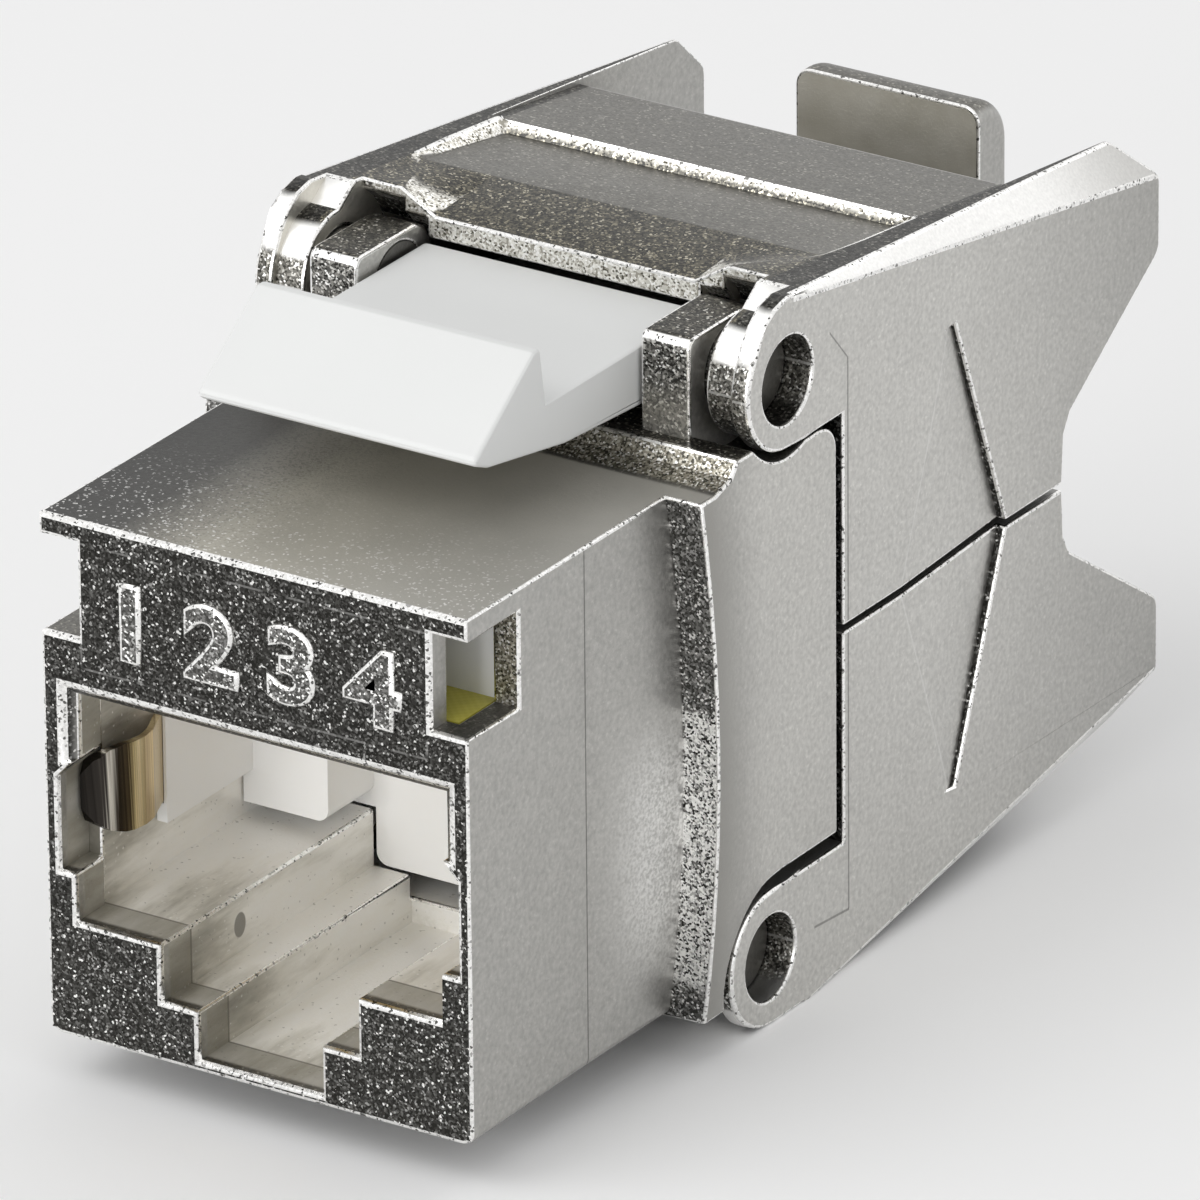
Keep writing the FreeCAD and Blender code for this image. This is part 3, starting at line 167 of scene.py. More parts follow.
class Graph:
    """A node tree that is filled by calls."""

    def __init__(self, tree: bpy.types.NodeTree) -> None:
        """Keep the tree and clear it.

        Args:
            tree: the node tree of a material or the world.
        """
        self.tree = tree
        tree.nodes.clear()

    def node(self, kind: str, settings: Mapping[str, Any] | None = None,
             inputs: Sockets | None = None) -> Made:
        """Add one node.

        Args:
            kind: the node's type.
            settings: its own settings; "stops" holds a ramp's places and colours.
            inputs: values or wires for its sockets.

        Returns:
            The node's outputs.
        """
        made = self.tree.nodes.new(kind)
        for name, value in (settings or {}).items():
            if name == "stops":
                self._set_stops(made.color_ramp, value)
            else:
                setattr(made, name, value)
        for key, value in (inputs or {}).items():
            if isinstance(value, Wire):
                self.tree.links.new(value.socket, made.inputs[key])
            else:
                made.inputs[key].default_value = value
        return Made(self, made)

    @staticmethod
    def _set_stops(ramp: bpy.types.ColorRamp, stops: Stops) -> None:
        """Give a ramp its places and colours.

        Args:
            ramp: the ramp to fill.
            stops: the places from 0 to 1 with their colours.
        """
        while len(ramp.elements) < len(stops):
            ramp.elements.new(1.0)
        for element, (place, colour) in zip(ramp.elements, stops):
            element.position = place
            element.color = colour

    def blend(self, share: Value, first: Value, second: Value) -> Wire:
        """Mix two colours.

        Args:
            share: how much of the second colour shows.
            first: the colour at share 0.
            second: the colour at share 1.

        Returns:
            The mixed colour.
        """
        made = self.node("ShaderNodeMix", {"data_type": "RGBA"}, {
            MIX_SHARE: share, MIX_FIRST: first, MIX_SECOND: second})
        return made[MIX_COLOUR]

    def scale_colour(self, colour: Value, factor: Value) -> Wire:
        """Brighten or darken a colour by a wire or a number.

        Args:
            colour: the colour, as a wire or a value.
            factor: what it is multiplied by.

        Returns:
            The new colour.
        """
        if not isinstance(colour, Wire):
            colour = colour[:3]
        return self.node("ShaderNodeVectorMath", {"operation": "SCALE"}, {0: colour, "Scale": factor})[0]

    def size_of(self, value: Value) -> Wire:
        """Return a value without its sign."""
        return self.node("ShaderNodeMath", {"operation": "ABSOLUTE"}, {0: value})[0]

    def step(self, value: Value, low: float, high: float) -> Wire:
        """Return a smooth rise from 0 at low to 1 at high."""
        return self.node("ShaderNodeMapRange", {"interpolation_type": "SMOOTHSTEP"},
                         {"Value": value, "From Min": low, "From Max": high})[0]

    def past(self, value: Value, place: float, soft: float = 0.1) -> Wire:
        """Return 1 past a place, with the soft rise behind it."""
        return self.step(value, place, place + soft)

    def before(self, value: Value, place: Value, soft: float = 0.1) -> Wire:
        """Return 1 before a place, with the soft fall in front of it."""
        return self.step(place - value, 0.0, soft)

    def band(self, value: Value, low: float, high: float, soft: float = 0.05) -> Wire:
        """Return 1 from low to high, with soft ends outside."""
        return self.step(value, low - soft, low) * (1.0 - self.step(value, high, high + soft))

    def line(self, value: Value, place: float, half: float = 0.03) -> Wire:
        """Return 1 on a thin line where a value has one place."""
        return 1.0 - self.step(self.size_of(value - place), LINE_CORE * half, half)

    def ramp(self, value: Value, stops: Stops, constant: bool = False) -> Wire:
        """Return a colour read from a ramp.

        Args:
            value: the number that is looked up.
            stops: the places from 0 to 1 with their colours.
            constant: whether each colour holds up to the next place.

        Returns:
            The colour.
        """
        made = self.node("ShaderNodeValToRGB", {"stops": stops}, {"Fac": value})
        made.node.color_ramp.interpolation = "CONSTANT" if constant else "LINEAR"
        return made[0]

    def places(self) -> tuple[Wire, Wire, Wire, Wire]:
        """Return the object place as a vector and as X, Y and Z in millimetres.

        Returns:
            The vector, X, Y and Z.
        """
        vector = self.node("ShaderNodeTexCoord")["Object"]
        parts = self.node("ShaderNodeSeparateXYZ", {}, {0: vector})
        return vector, parts[0] / MM, parts[1] / MM, parts[2] / MM

    def spot(self, grain: float, middle: float = 0.0, sign: float = 1.0) -> "Spot":
        """Gather what a metal finish asks of each point.

        Args:
            grain: size of the mould's grain in millimetres.
            middle: the height from which the rise is measured, in millimetres.
            sign: 1 where the rise counts upwards, -1 where it counts downwards.

        Returns:
            The place, the facing and the grain of the point.
        """
        vector, x, y, z = self.places()
        normal = self.node("ShaderNodeTexCoord")["Normal"]
        parts = self.node("ShaderNodeSeparateXYZ", {}, {0: normal})
        cells = self.cells(vector, grain)
        return Spot(vector=vector, x=x, y=y, z=z, rise=(z - middle) * sign, aside=self.size_of(x),
                    sideways=self.size_of(parts[0]), across=parts[1], outward=parts[2] * sign,
                    fine=self.noise(vector, FINE_SIZE), grain=cells[0], pit=cells[1])

    def noise(self, vector: Wire, feature: float, detail: float = 2.0) -> Wire:
        """Return soft noise whose features measure a number of millimetres."""
        return self.node("ShaderNodeTexNoise", {}, {
            "Vector": vector, "Scale": 1 / (feature * MM), "Detail": detail})["Fac"]

    def cells(self, vector: Wire, size: float) -> Made:
        """Return three random numbers for each grain of a size in millimetres."""
        cells = self.node("ShaderNodeTexVoronoi", {}, {"Vector": vector, "Scale": 1 / (size * MM)})
        return self.node("ShaderNodeSeparateColor", {}, {0: cells["Color"]})

    def bump(self, height: Wire, depth: float, strength: float) -> Wire:
        """Return a normal raised by a height wire, with a depth in millimetres."""
        return self.node("ShaderNodeBump", {}, {
            "Height": height, "Distance": depth * MM, "Strength": strength})["Normal"]


@dataclass(frozen=True)
class Spot:
    """A point of a surface, as wires.

    x, y, z, rise and aside are places in millimetres; sideways, across and outward are parts of its
    normal, from -1 to 1; fine is soft noise; grain and pit are one random number each a grain.
    """

    vector: Wire
    x: Wire
    y: Wire
    z: Wire
    rise: Wire
    aside: Wire
    sideways: Wire
    across: Wire
    outward: Wire
    fine: Wire
    grain: Wire
    pit: Wire


def speckled(graph: Graph, value: Wire, levels: Speckle, factor: float = 1.0) -> Wire:
    """Return the colour of a speckled metal.

    Args:
        graph: the graph that takes the nodes.
        value: one random number a grain.
        levels: where each level starts, its grey and its warmth.
        factor: what every grey is multiplied by.

    Returns:
        The colour.
    """
    stops = [(start, grey(min(level * factor, BRIGHTEST), warmth)) for start, level, warmth in levels]
    return graph.ramp(value, stops, constant=True)


@dataclass(frozen=True)
class Finish:
    """A finish that can make its own material."""

    name: str

    def material(self) -> bpy.types.Material:
        """Build the material.

        Returns:
            The new material.
        """
        made = bpy.data.materials.new(self.name)
        made.use_nodes = True
        graph = Graph(made.node_tree)
        shader = graph.node("ShaderNodeBsdfPrincipled", {}, self.sockets(graph))
        graph.node("ShaderNodeOutputMaterial", {}, {"Surface": shader["BSDF"]})
        return made

    def sockets(self, graph: Graph) -> Sockets:
        """Return the shader's inputs."""
        raise NotImplementedError


@dataclass(frozen=True)
class CastNickel(Finish):
    """Satin nickel plate on a die casting, its colour painted by facing: dark grain on forward faces as a
    painted reflection, lighter smooth sides as painted light.

    Levels are greys as a screen shows them, and sizes are in millimetres.
    """

    # side, top and under are greys painted by facing, as painted light and reflection.
    side: float = 180.0
    top: float = 114.0
    under: float = 150.0
    grain: float = 0.065
    front_reflection_level: float = 1.0
    front_reflection_end: float = 31.0
    mottle: float = 0.6
    cloud: float = 2.4
    roughness: float = 0.34
    rough_spread: float = 0.14

    # The forward faces' grain, dark as a painted reflection, with rare painted glints.
    FRONT_REFLECTION: ClassVar[Speckle] = (
        (0.0, 42, 3), (0.3, 56, 3), (0.58, 74, 3), (0.78, 102, 3), (0.9, 150, 3), (0.968, 226, 3))
    # CREAM: bright cream speckle painted as highlights on the jaws; HUB: the hubs' fronts, a lighter painted
    # reflection.
    CREAM: ClassVar[Speckle] = (
        (0.0, 92, 14), (0.1, 168, 14), (0.3, 214, 10), (0.6, 240, 8), (0.85, 252, 4))
    HUB: ClassVar[Speckle] = (
        (0.0, 62, 5), (0.2, 96, 6), (0.5, 134, 8), (0.78, 184, 8), (0.92, 244, 4))

    def sockets(self, graph: Graph) -> Sockets:
        """Return the shader's inputs.

        Args:
            graph: the graph that takes the nodes.

        Returns:
            The value or wire of each socket.
        """
        spot = self.spot(graph)
        clouds = 0.94 + 0.12 * graph.noise(spot.vector, self.cloud, 3.0)
        return {
            "Base Color": graph.scale_colour(self.colour(graph, spot), clouds),
            "Metallic": self.metal(graph, spot),
            "Roughness": self.roughness + self.rough_spread * spot.fine,
            "Normal": graph.bump(0.6 * spot.fine + 0.4 * spot.grain, depth=0.02, strength=0.45),
        }

    def spot(self, graph: Graph) -> Spot:
        """Return what is asked of each point."""
        return graph.spot(self.grain)

    def metal(self, graph: Graph, spot: Spot) -> Value:
        """Return how metallic the surface is."""
        return 1.0

    def colour(self, graph: Graph, spot: Spot) -> Wire:
        """Return the colour painted by facing: sides, tops, undersides and forward faces, as painted light,
        shade and reflection.

        Args:
            graph: the graph that takes the nodes.
            spot: the point as wires.

        Returns:
            The colour.
        """
        # Painted light, shade and reflection: the grey changes with the way the surface faces.
        outward = graph.step(spot.outward, 0.45, 0.85)
        body = graph.blend(outward, self.sides(graph, spot), self.tops(graph, spot))
        body = graph.blend(graph.step(-spot.outward, 0.5, 0.85), body, grey(self.under))
        # Forward faces take the dark grain painted as a reflection.
        front = graph.step(-spot.across, 0.45, 0.8) * graph.step(self.front_reflection_end - spot.y, -0.5, 0.5)
        return graph.blend(front, body, self.front_grain_and_reflection(graph, spot))

    def sides(self, graph: Graph, spot: Spot) -> Wire:
        """Return the colour of the smooth sides, painted light as the side-facing grey, with their fine
        pitting.

        Args:
            graph: the graph that takes the nodes.
            spot: the point as wires.

        Returns:
            The colour.
        """
        pits = graph.step(spot.pit, 0.93, 0.99)
        low = 1.0 - self.mottle / 2
        return graph.scale_colour(grey(self.side, 5), low + self.mottle * spot.fine + 0.12 * pits)

    def tops(self, graph: Graph, spot: Spot) -> Wire:
        """Return the colour of the surfaces that face outwards, painted darker as a reflection, with a few
        painted glints.
        """
        return speckled(graph, spot.grain, (
            (0.0, self.top - 12, 6), (0.4, self.top, 6), (0.75, self.top + 9, 8), (0.95, self.top + 46, 10)))

    def front_grain_and_reflection(self, graph: Graph, spot: Spot) -> Wire:
        """Return the dark sparkling colour of the surfaces that face forward: grain, with the darkness and
        the glints painted as a reflection.
        """
        return speckled(graph, spot.grain, self.FRONT_REFLECTION, self.front_reflection_level)


@dataclass(frozen=True)
class HousingNickel(CastNickel):
    """The front housing's nickel with its own shelf, notches, swelling, step, scoop, posts and socket.

    Places are in millimetres in the jack's frame, and a pair is where something starts and ends.
    """

    shelf_level: float = 15.9
    shelf_end: float = 11.1
    shelf_half: float = 7.25
    mouth_half: float = 6.95
    mouth_frame: float = 1.52
    mouth_height: tuple[float, float] = (0.25, 12.4)
    streak_stretch: float = 0.22
    ejector_mark: tuple[float, float, float] = (-3.35, 4.0, 2.75)
    ejector_radius: float = 0.27
    plate_half: float = 5.88
    plate_height: tuple[float, float] = (11.75, 15.62)
    notch: tuple[float, float] = (2.3, 3.0)
    notch_floor: float = 12.5
    crease: float = 6.0
    swelling: tuple[float, float] = (6.2, 10.2)
    swelling_sheen_height: tuple[float, float] = (0.2, 11.0)
    shade_end: float = 12.4
    side_plate: tuple[float, float] = (11.6, 13.6)
    step_face: tuple[float, float] = (10.1, 10.5)
    step_inside: float = 6.9
    step_change: float = 9.9
    scoop_face: tuple[float, float] = (10.9, 12.25)
    scoop_foot: float = 16.2
    scoop_floor: tuple[float, float] = (11.0, 12.18)
    scoop_level: float = 16.32
    post_front: float = 12.3
    post_foot: float = 16.9
    post_change: float = 18.9

    RARE: ClassVar[tuple[float, float]] = (0.985, 0.995)
    # SCOOP: warm bright speckle painted as a highlight on the scoop and the notches; STEP_HIGH and STEP_LOW:
    # the step face, painted brighter below, as a highlight.
    SCOOP: ClassVar[Speckle] = (
        (0.0, 70, 10), (0.15, 112, 16), (0.4, 158, 18), (0.7, 206, 14), (0.88, 250, 4))
    STEP_HIGH: ClassVar[Speckle] = (
        (0.0, 66, 3), (0.3, 94, 3), (0.55, 124, 3), (0.78, 164, 3), (0.92, 236, 3))
    STEP_LOW: ClassVar[Speckle] = (
        (0.0, 48, 3), (0.16, 112, 3), (0.3, 186, 3), (0.5, 236, 3), (0.8, 253, 3))
    # POST_TOP: the posts' tops, dark as a painted reflection; POST_HIGH and POST_LOW: their fronts, painted
    # brighter below, as a highlight.
    POST_TOP: ClassVar[Speckle] = (
        (0.0, 48, 4), (0.3, 70, 6), (0.6, 92, 9), (0.85, 128, 12), (0.96, 210, 10))
    POST_HIGH: ClassVar[Speckle] = (
        (0.0, 52, 3), (0.25, 92, 4), (0.5, 140, 6), (0.8, 204, 6), (0.93, 250, 3))
    POST_LOW: ClassVar[Speckle] = (
        (0.0, 122, 6), (0.3, 146, 8), (0.6, 164, 10), (0.9, 214, 10))
    # SHELF: the shelf's painted reflection from left to right.
    SHELF: ClassVar[Stops] = (
        (0.0, grey(44)), (0.17, grey(62, 5)), (0.38, grey(170, 16)), (0.55, grey(174, 15)),
        (0.78, grey(172, 11)), (1.0, grey(164, 9)))
    # SOCKET: the socket's walls, from darker to near white, as painted light.
    SOCKET: ClassVar[Stops] = (
        (0.14, grey(128, 14)), (0.34, grey(186, 14)), (0.46, grey(226, 11)), (0.6, grey(250, 7)),
        (0.74, grey(254, 4)))

    def colour(self, graph: Graph, spot: Spot) -> Wire:
        """Return the colour with the shelf, the posts' shoulders painted bright as a highlight and the
        socket's inside laid over it.

        Args:
            graph: the graph that takes the nodes.
            spot: the point as wires.

        Returns:
            The colour.
        """
        shelf = self._shelf(graph, spot)
        body = graph.blend(self._shelf_mask(graph, spot), super().colour(graph, spot), shelf)
        # Painted highlight on the posts' shoulders.
        shoulder = graph.band(spot.outward, 0.42, 0.86, 0.08) * graph.step(-spot.across, 0.3, 0.45)
        shoulder = shoulder * graph.past(spot.z, self.post_foot)
        body = graph.blend(shoulder * graph.step(spot.grain, 0.04, 0.1), body, grey(252))
        return graph.blend(self._inside_mask(graph, spot), body, self._inside(graph, spot))

    def metal(self, graph: Graph, spot: Spot) -> Value:
        """Return how metallic it is: less on the satin shelf and inside the socket."""
        return 1.0 - 0.62 * self._shelf_mask(graph, spot) - 0.72 * self._inside_mask(graph, spot)

    def _shelf_mask(self, graph: Graph, spot: Spot) -> Wire:
        """Return where the flat shelf over the socket lies."""
        level = graph.past(spot.z, self.shelf_level, 0.2)
        return graph.step(spot.outward, 0.6, 0.9) * level * graph.before(spot.y, self.shelf_end, 0.2)

    def _inside_mask(self, graph: Graph, spot: Spot) -> Wire:
        """Return where the inside of the socket lies.

        Args:
            graph: the graph that takes the nodes.
            spot: the point as wires.

        Returns:
            The mask, from 0 to 1.
        """
        low, high = self.mouth_height
        inside = graph.before(spot.aside, self.mouth_half) * graph.step(spot.y, 0.3, 0.5)
        return inside * graph.past(spot.z, low) * graph.before(spot.z, high)

    def _shelf(self, graph: Graph, spot: Spot) -> Wire:
        """Return the shelf's colour, a painted reflection: dark at its left, warm and light in the middle,
        with painted glints in front.

        Args:
            graph: the graph that takes the nodes.
            spot: the point as wires.

        Returns:
            The colour.
        """
        # Painted reflection across the shelf, dark at the left and light in the middle, with painted glints
        # in front.
        sheen = graph.ramp((spot.x + self.shelf_half) / (2 * self.shelf_half), self.SHELF)
        sheen = graph.scale_colour(sheen, 0.84 + 0.32 * graph.noise(spot.vector, 3.2))
        speck = graph.step(spot.grain, 0.9, 0.97) * graph.step(4.5 - spot.y, -2.5, 4.0)
        dark = graph.step(spot.pit, 0.66, 0.8) * graph.before(spot.x, 1.0, 6.0)
        sheen = graph.blend(dark * 0.45, sheen, grey(44))
        return graph.blend(speck * 0.75, sheen, grey(232))

    def _inside(self, graph: Graph, spot: Spot) -> Wire:
        """Return the socket's colour: darker in the mouth frame, drawn streaks and painted light behind it,
        brighter deeper in and on the floors.

        Args:
            graph: the graph that takes the nodes.
            spot: the point as wires.

        Returns:
            The colour.
        """
        drawn = graph.node("ShaderNodeVectorMath", {"operation": "MULTIPLY"}, {
            0: spot.vector, 1: (1.0, self.streak_stretch, 1.0)})[0]
        clouds = graph.noise(drawn, 1.5) + 0.16 * (graph.noise(drawn, 0.14) - 0.5)
        depth = graph.step(spot.y, 1.5, 8.5)
        floor = graph.step(spot.outward, 0.6, 0.9)
        left = graph.before(spot.x, -2.6, 0.6)
        # Painted light: the walls grow brighter deeper in and on the floors, with painted shade on the left
        # floor near the mouth.
        level = clouds + 0.26 * (depth - 0.5) + 0.14 * floor - 0.12 * left * floor * (1.0 - depth)
        walls = graph.ramp(level, self.SOCKET)
        # Painted glints on rare bright grains; rare dark grains.
        walls = graph.blend(graph.step(spot.pit, *self.RARE) * 0.5, walls, grey(252, 4))
        walls = graph.blend(graph.step(spot.grain, *self.RARE) * 0.4, walls, grey(120, 8))
        behind = graph.step(spot.y, self.mouth_frame - 0.07, self.mouth_frame + 0.08)
        walls = graph.blend((1.0 - behind) * 0.6, walls, grey(124, 18))
        walls = graph.blend(graph.line(spot.y, self.mouth_frame, 0.05) * 0.7, walls, grey(96, 14))
        return graph.blend(self._ejector_mark(graph, spot), walls, grey(150, 9))

    def sides(self, graph: Graph, spot: Spot) -> Wire:
        """Return the sides' colour: a dark line along the crease, a painted sheen in streaks low on the
        swelling, a painted shade behind the step.

        Args:
            graph: the graph that takes the nodes.
            spot: the point as wires.

        Returns:
            The colour.
        """
        plain = super().sides(graph, spot)
        start, end = self.swelling
        low, high = self.swelling_sheen_height
        # Painted sheen: bright streaks low on the swelling.
        streaks = graph.step(graph.noise(spot.vector, 0.11, 3.0), 0.3, 0.7)
        swelling_sheen = graph.step(spot.y, start, end) * graph.before(spot.y, end + 0.2)
        swelling_sheen = swelling_sheen * graph.before(spot.z, high, 4.0) * graph.past(spot.z, low, 4.8)
        plain = graph.blend(swelling_sheen * (0.25 + 0.75 * streaks), plain, grey(BRIGHTEST))
        # Painted shade behind the step.
        shade = graph.past(spot.y, end) * graph.before(spot.y, self.shade_end, 2.2)
        plain = graph.blend(shade, plain, grey(self.side - 22, 6))
        plain = graph.blend(graph.step(spot.y, *self.side_plate), plain, graph.scale_colour(plain, 1.24))
        return graph.blend(graph.line(spot.y, self.crease, 0.035) * 0.6, plain, grey(70))

    def tops(self, graph: Graph, spot: Spot) -> Wire:
        """Return the posts' tops, dark with grain as a painted reflection, and the warm sparkle of the scoop
        in front of them, a painted highlight.

        Args:
            graph: the graph that takes the nodes.
            spot: the point as wires.

        Returns:
            The colour.
        """
        posts = graph.step(spot.z, self.post_foot - 0.1, self.post_foot)
        plain = graph.blend(posts, super().tops(graph, spot), speckled(graph, spot.grain, self.POST_TOP))
        scoop = graph.band(spot.y, *self.scoop_floor)
        scoop = scoop * graph.past(spot.z, self.scoop_level, 0.04)
        return graph.blend(scoop, plain, speckled(graph, spot.pit, self.SCOOP))

    def front_grain_and_reflection(self, graph: Graph, spot: Spot) -> Wire:
        """Return the front, dark as a painted reflection and painted lighter low down, with its lines, and
        the notches, the step, the scoop and the posts painted brighter as highlights.

        Args:
            graph: the graph that takes the nodes.
            spot: the point as wires.

        Returns:
            The colour.
        """
        # Painted light: the front is brighter low down.
        lit = 1.0 + 0.22 * graph.before(spot.z, 5.0, 3.0)
        body = graph.scale_colour(super().front_grain_and_reflection(graph, spot), lit)
        body = graph.blend(self._plate_lines(graph, spot) * 0.5, body, grey(150))
        warm = speckled(graph, spot.grain, self.SCOOP)
        # The notches' rear walls take the warm scoop speckle, a painted highlight.
        notch = graph.band(spot.y, *self.notch) * graph.past(spot.z, self.notch_floor)
        body = graph.blend(notch, body, warm)
        # Painted highlight: the step face sparkles brighter below a ragged line.
        ragged = self.step_change + 0.8 * (spot.fine - 0.5)
        low = graph.before(spot.z, ragged, 0.15) * graph.step(spot.z, 0.9, 1.4)
        sparkle = graph.blend(low, speckled(graph, spot.grain, self.STEP_HIGH),
                              speckled(graph, spot.grain, self.STEP_LOW))
        face = graph.past(spot.aside, self.step_inside)
        body = graph.blend(face * graph.band(spot.y, *self.step_face), body, sparkle)
        # The scoop's front takes the same warm painted highlight.
        scoop = graph.band(spot.y, *self.scoop_face) * graph.past(spot.z, self.scoop_foot)
        body = graph.blend(scoop, body, warm)
        # The posts' fronts: painted brighter below a height, as a highlight.
        change = graph.before(spot.z, self.post_change, 1.2)
        posts = graph.blend(change, speckled(graph, spot.grain, self.POST_HIGH),
                            speckled(graph, spot.grain, self.POST_LOW))
        return graph.blend(graph.past(spot.y, self.post_front, 0.05), body, posts)

    def _plate_lines(self, graph: Graph, spot: Spot) -> Wire:
        """Return the thin broken mould lines round the front plate.

        Args:
            graph: the graph that takes the nodes.
            spot: the point as wires.

        Returns:
            The mask, from 0 to 1.
        """
        low, high = self.plate_height
        within = graph.before(spot.aside, self.plate_half + 0.02, 0.02)
        level = (graph.line(spot.z, high, 0.04) + graph.line(spot.z, low, 0.04)) * within
        upright = graph.line(spot.aside, self.plate_half, 0.04) * graph.band(spot.z, low, high, 0.02)
        broken = graph.step(graph.noise(spot.vector, 0.5), 0.4, 0.55)
        return (level + upright) * broken

    def _ejector_mark(self, graph: Graph, spot: Spot) -> Wire:
        """Return the round mark that an ejector pin left on the left wall of the tab step.

        Args:
            graph: the graph that takes the nodes.
            spot: the point as wires.

        Returns:
            The mask, from 0 to 1.
        """
        x, y, z = self.ejector_mark
        reach = graph.node("ShaderNodeCombineXYZ", {}, {
            0: (spot.x - x) * 2.0, 1: spot.y - y, 2: (spot.z - z) * 0.75})[0]
        away = graph.node("ShaderNodeVectorMath", {"operation": "LENGTH"}, {0: reach})["Value"]
        return 1.0 - graph.past(away, self.ejector_radius, 0.04)


@dataclass(frozen=True)
class JawNickel(CastNickel):
    """A jaw's nickel: dark rims as a painted reflection, recess walls, lip, riser and crest painted bright as
    highlights, and thin mould seams.

    Places are in millimetres in the jack's frame, rises are measured outwards from the plane between
    the jaws, and a pair is where something starts and ends.
    """

    sign: float = 1.0
    middle: float = 9.6
    fold: float = 19.2
    hem: float = 28.5
    recess: tuple[float, float] = (15.9, 23.9)
    wing_inside: float = 7.3
    side_place: float = 8.3
    shading: tuple[float, float] = (22.0, 37.0)
    crest_start: float = 15.6
    crest_fade: tuple[float, float] = (28.0, 35.0)
    rim_inside: float = 7.1
    rim_end: float = 33.6
    ear_end: float = 17.0
    ear_shoulder: float = 9.4
    hollow_end: float = 18.5
    hub_height: float = 8.88
    lip: tuple[float, float] = (15.9, 16.5)
    lip_half: float = 6.6
    riser: tuple[float, float] = (23.4, 24.0)
    riser_foot: float = 9.9
    riser_crest: float = 10.16
    tongue_front: float = 32.0
    seam: float = 18.03
    seam_turn: tuple[float, float, float] = (8.44, 1.14, 0.95)
    arrow_front: tuple[float, float] = (20.9, 0.1)
    arrow_point: tuple[float, float] = (23.6, 7.35)

    GOLDEN: ClassVar[Speckle] = (
        (0.0, 54, 3), (0.3, 76, 8), (0.6, 98, 14), (0.85, 138, 22), (0.96, 190, 22))
    # Rim tops painted dark as a reflection.
    RIM: ClassVar[Speckle] = ((0.0, 36, 3), (0.35, 56, 4), (0.7, 80, 6), (0.93, 130, 8))

    def spot(self, graph: Graph) -> Spot:
        """Return what is asked of each point, measured from the plane between the jaws."""
        return graph.spot(self.grain, self.middle, self.sign)

    def colour(self, graph: Graph, spot: Spot) -> Wire:
        """Return the colour with the recess walls, the crest and the ears' shoulders painted bright as
        highlights laid over it.

        Args:
            graph: the graph that takes the nodes.
            spot: the point as wires.

        Returns:
            The colour.
        """
        body = super().colour(graph, spot)
        # Painted highlight on the recess walls.
        wall = graph.step(spot.sideways, 0.2, 0.35) * graph.step(spot.outward, 0.2, 0.3)
        wall = wall * graph.band(spot.y, *self.recess) * graph.before(spot.aside, self.wing_inside, 0.05)
        body = graph.blend(wall, body, speckled(graph, spot.grain, self.CREAM))
        crest = graph.step(spot.sideways, 0.3, 0.5) * graph.step(spot.outward, 0.3, 0.45)
        crest = crest * graph.past(spot.y, self.crest_start, 0.6)
        crest = crest * graph.step(spot.aside, self.wing_inside + 0.05, self.wing_inside + 0.1)
        # Painted highlight along the crest: near white at the front, greyer towards the rear.
        crest_highlight = graph.blend(graph.step(spot.y, *self.crest_fade), grey(250), grey(206, 4))
        crest_highlight = graph.scale_colour(crest_highlight, 0.82 + 0.3 * graph.noise(spot.vector, 0.1, 3.0))
        body = graph.blend(crest, body, crest_highlight)
        # Painted highlight on the ears' shoulders.
        shoulder = graph.band(spot.outward, 0.5, 0.84, 0.08) * graph.step(-spot.across, 0.3, 0.45)
        shoulder = shoulder * self._ear_mask(graph, spot)
        shoulder = shoulder * graph.past(spot.rise, self.ear_shoulder)
        return graph.blend(shoulder, body, grey(250))

    def metal(self, graph: Graph, spot: Spot) -> Value:
        """Return how metallic it is: less on the satin front of the cable tie tongue."""
        return 1.0 - 0.5 * self._tongue_mask(graph, spot)

    def _ear_mask(self, graph: Graph, spot: Spot) -> Wire:
        """Return where the ears lie."""
        return graph.before(spot.y, self.ear_end)

    def _tongue_mask(self, graph: Graph, spot: Spot) -> Wire:
        """Return where the front of the cable tie tongue lies."""
        place = graph.past(spot.y, self.tongue_front, 0.5)
        return place * graph.step(-spot.across, 0.5, 0.8)

    def sides(self, graph: Graph, spot: Spot) -> Wire:
        """Return the sides' colour, with painted shade darker towards the wings, seams, a painted highlight
        along the arrow's edge and the tongue.

        Args:
            graph: the graph that takes the nodes.
            spot: the point as wires.

        Returns:
            The colour.
        """
        # Painted shade: darker towards the wings.
        plain = graph.scale_colour(super().sides(graph, spot), 1.06 - 0.3 * graph.step(spot.y, *self.shading))
        outside = graph.past(spot.aside, self.side_place, 0.05)
        plain = graph.blend(outside * self._seams(graph, spot) * 0.55, plain, grey(84))
        hollow = graph.before(spot.aside, self.side_place - 0.1)
        hollow = hollow * graph.before(spot.y, self.hollow_end, 0.5)
        plain = graph.blend(hollow * 0.6, plain, grey(226, 16))
        # Painted highlight along the arrow's front edge.
        plain = graph.blend(outside * self._arrow_edge(graph, spot) * 0.4, plain, grey(226))
        satin = graph.blend(graph.noise(spot.vector, 1.4), grey(166, 20), grey(214, 12))
        return graph.blend(self._tongue_mask(graph, spot), plain, satin)

    def _seams(self, graph: Graph, spot: Spot) -> Wire:
        """Return the mould seam behind the ear: upright, then turning towards the front.

        Args:
            graph: the graph that takes the nodes.
            spot: the point as wires.

        Returns:
            The mask, from 0 to 1.
        """
        height, slope, reach = self.seam_turn
        upright = graph.line(spot.y, self.seam, 0.045) * graph.before(spot.rise, height, 0.05)
        turn = graph.line(spot.rise + slope * (spot.y - self.seam), height, 0.05)
        return upright + turn * graph.band(spot.y, self.seam - reach, self.seam, 0.03)

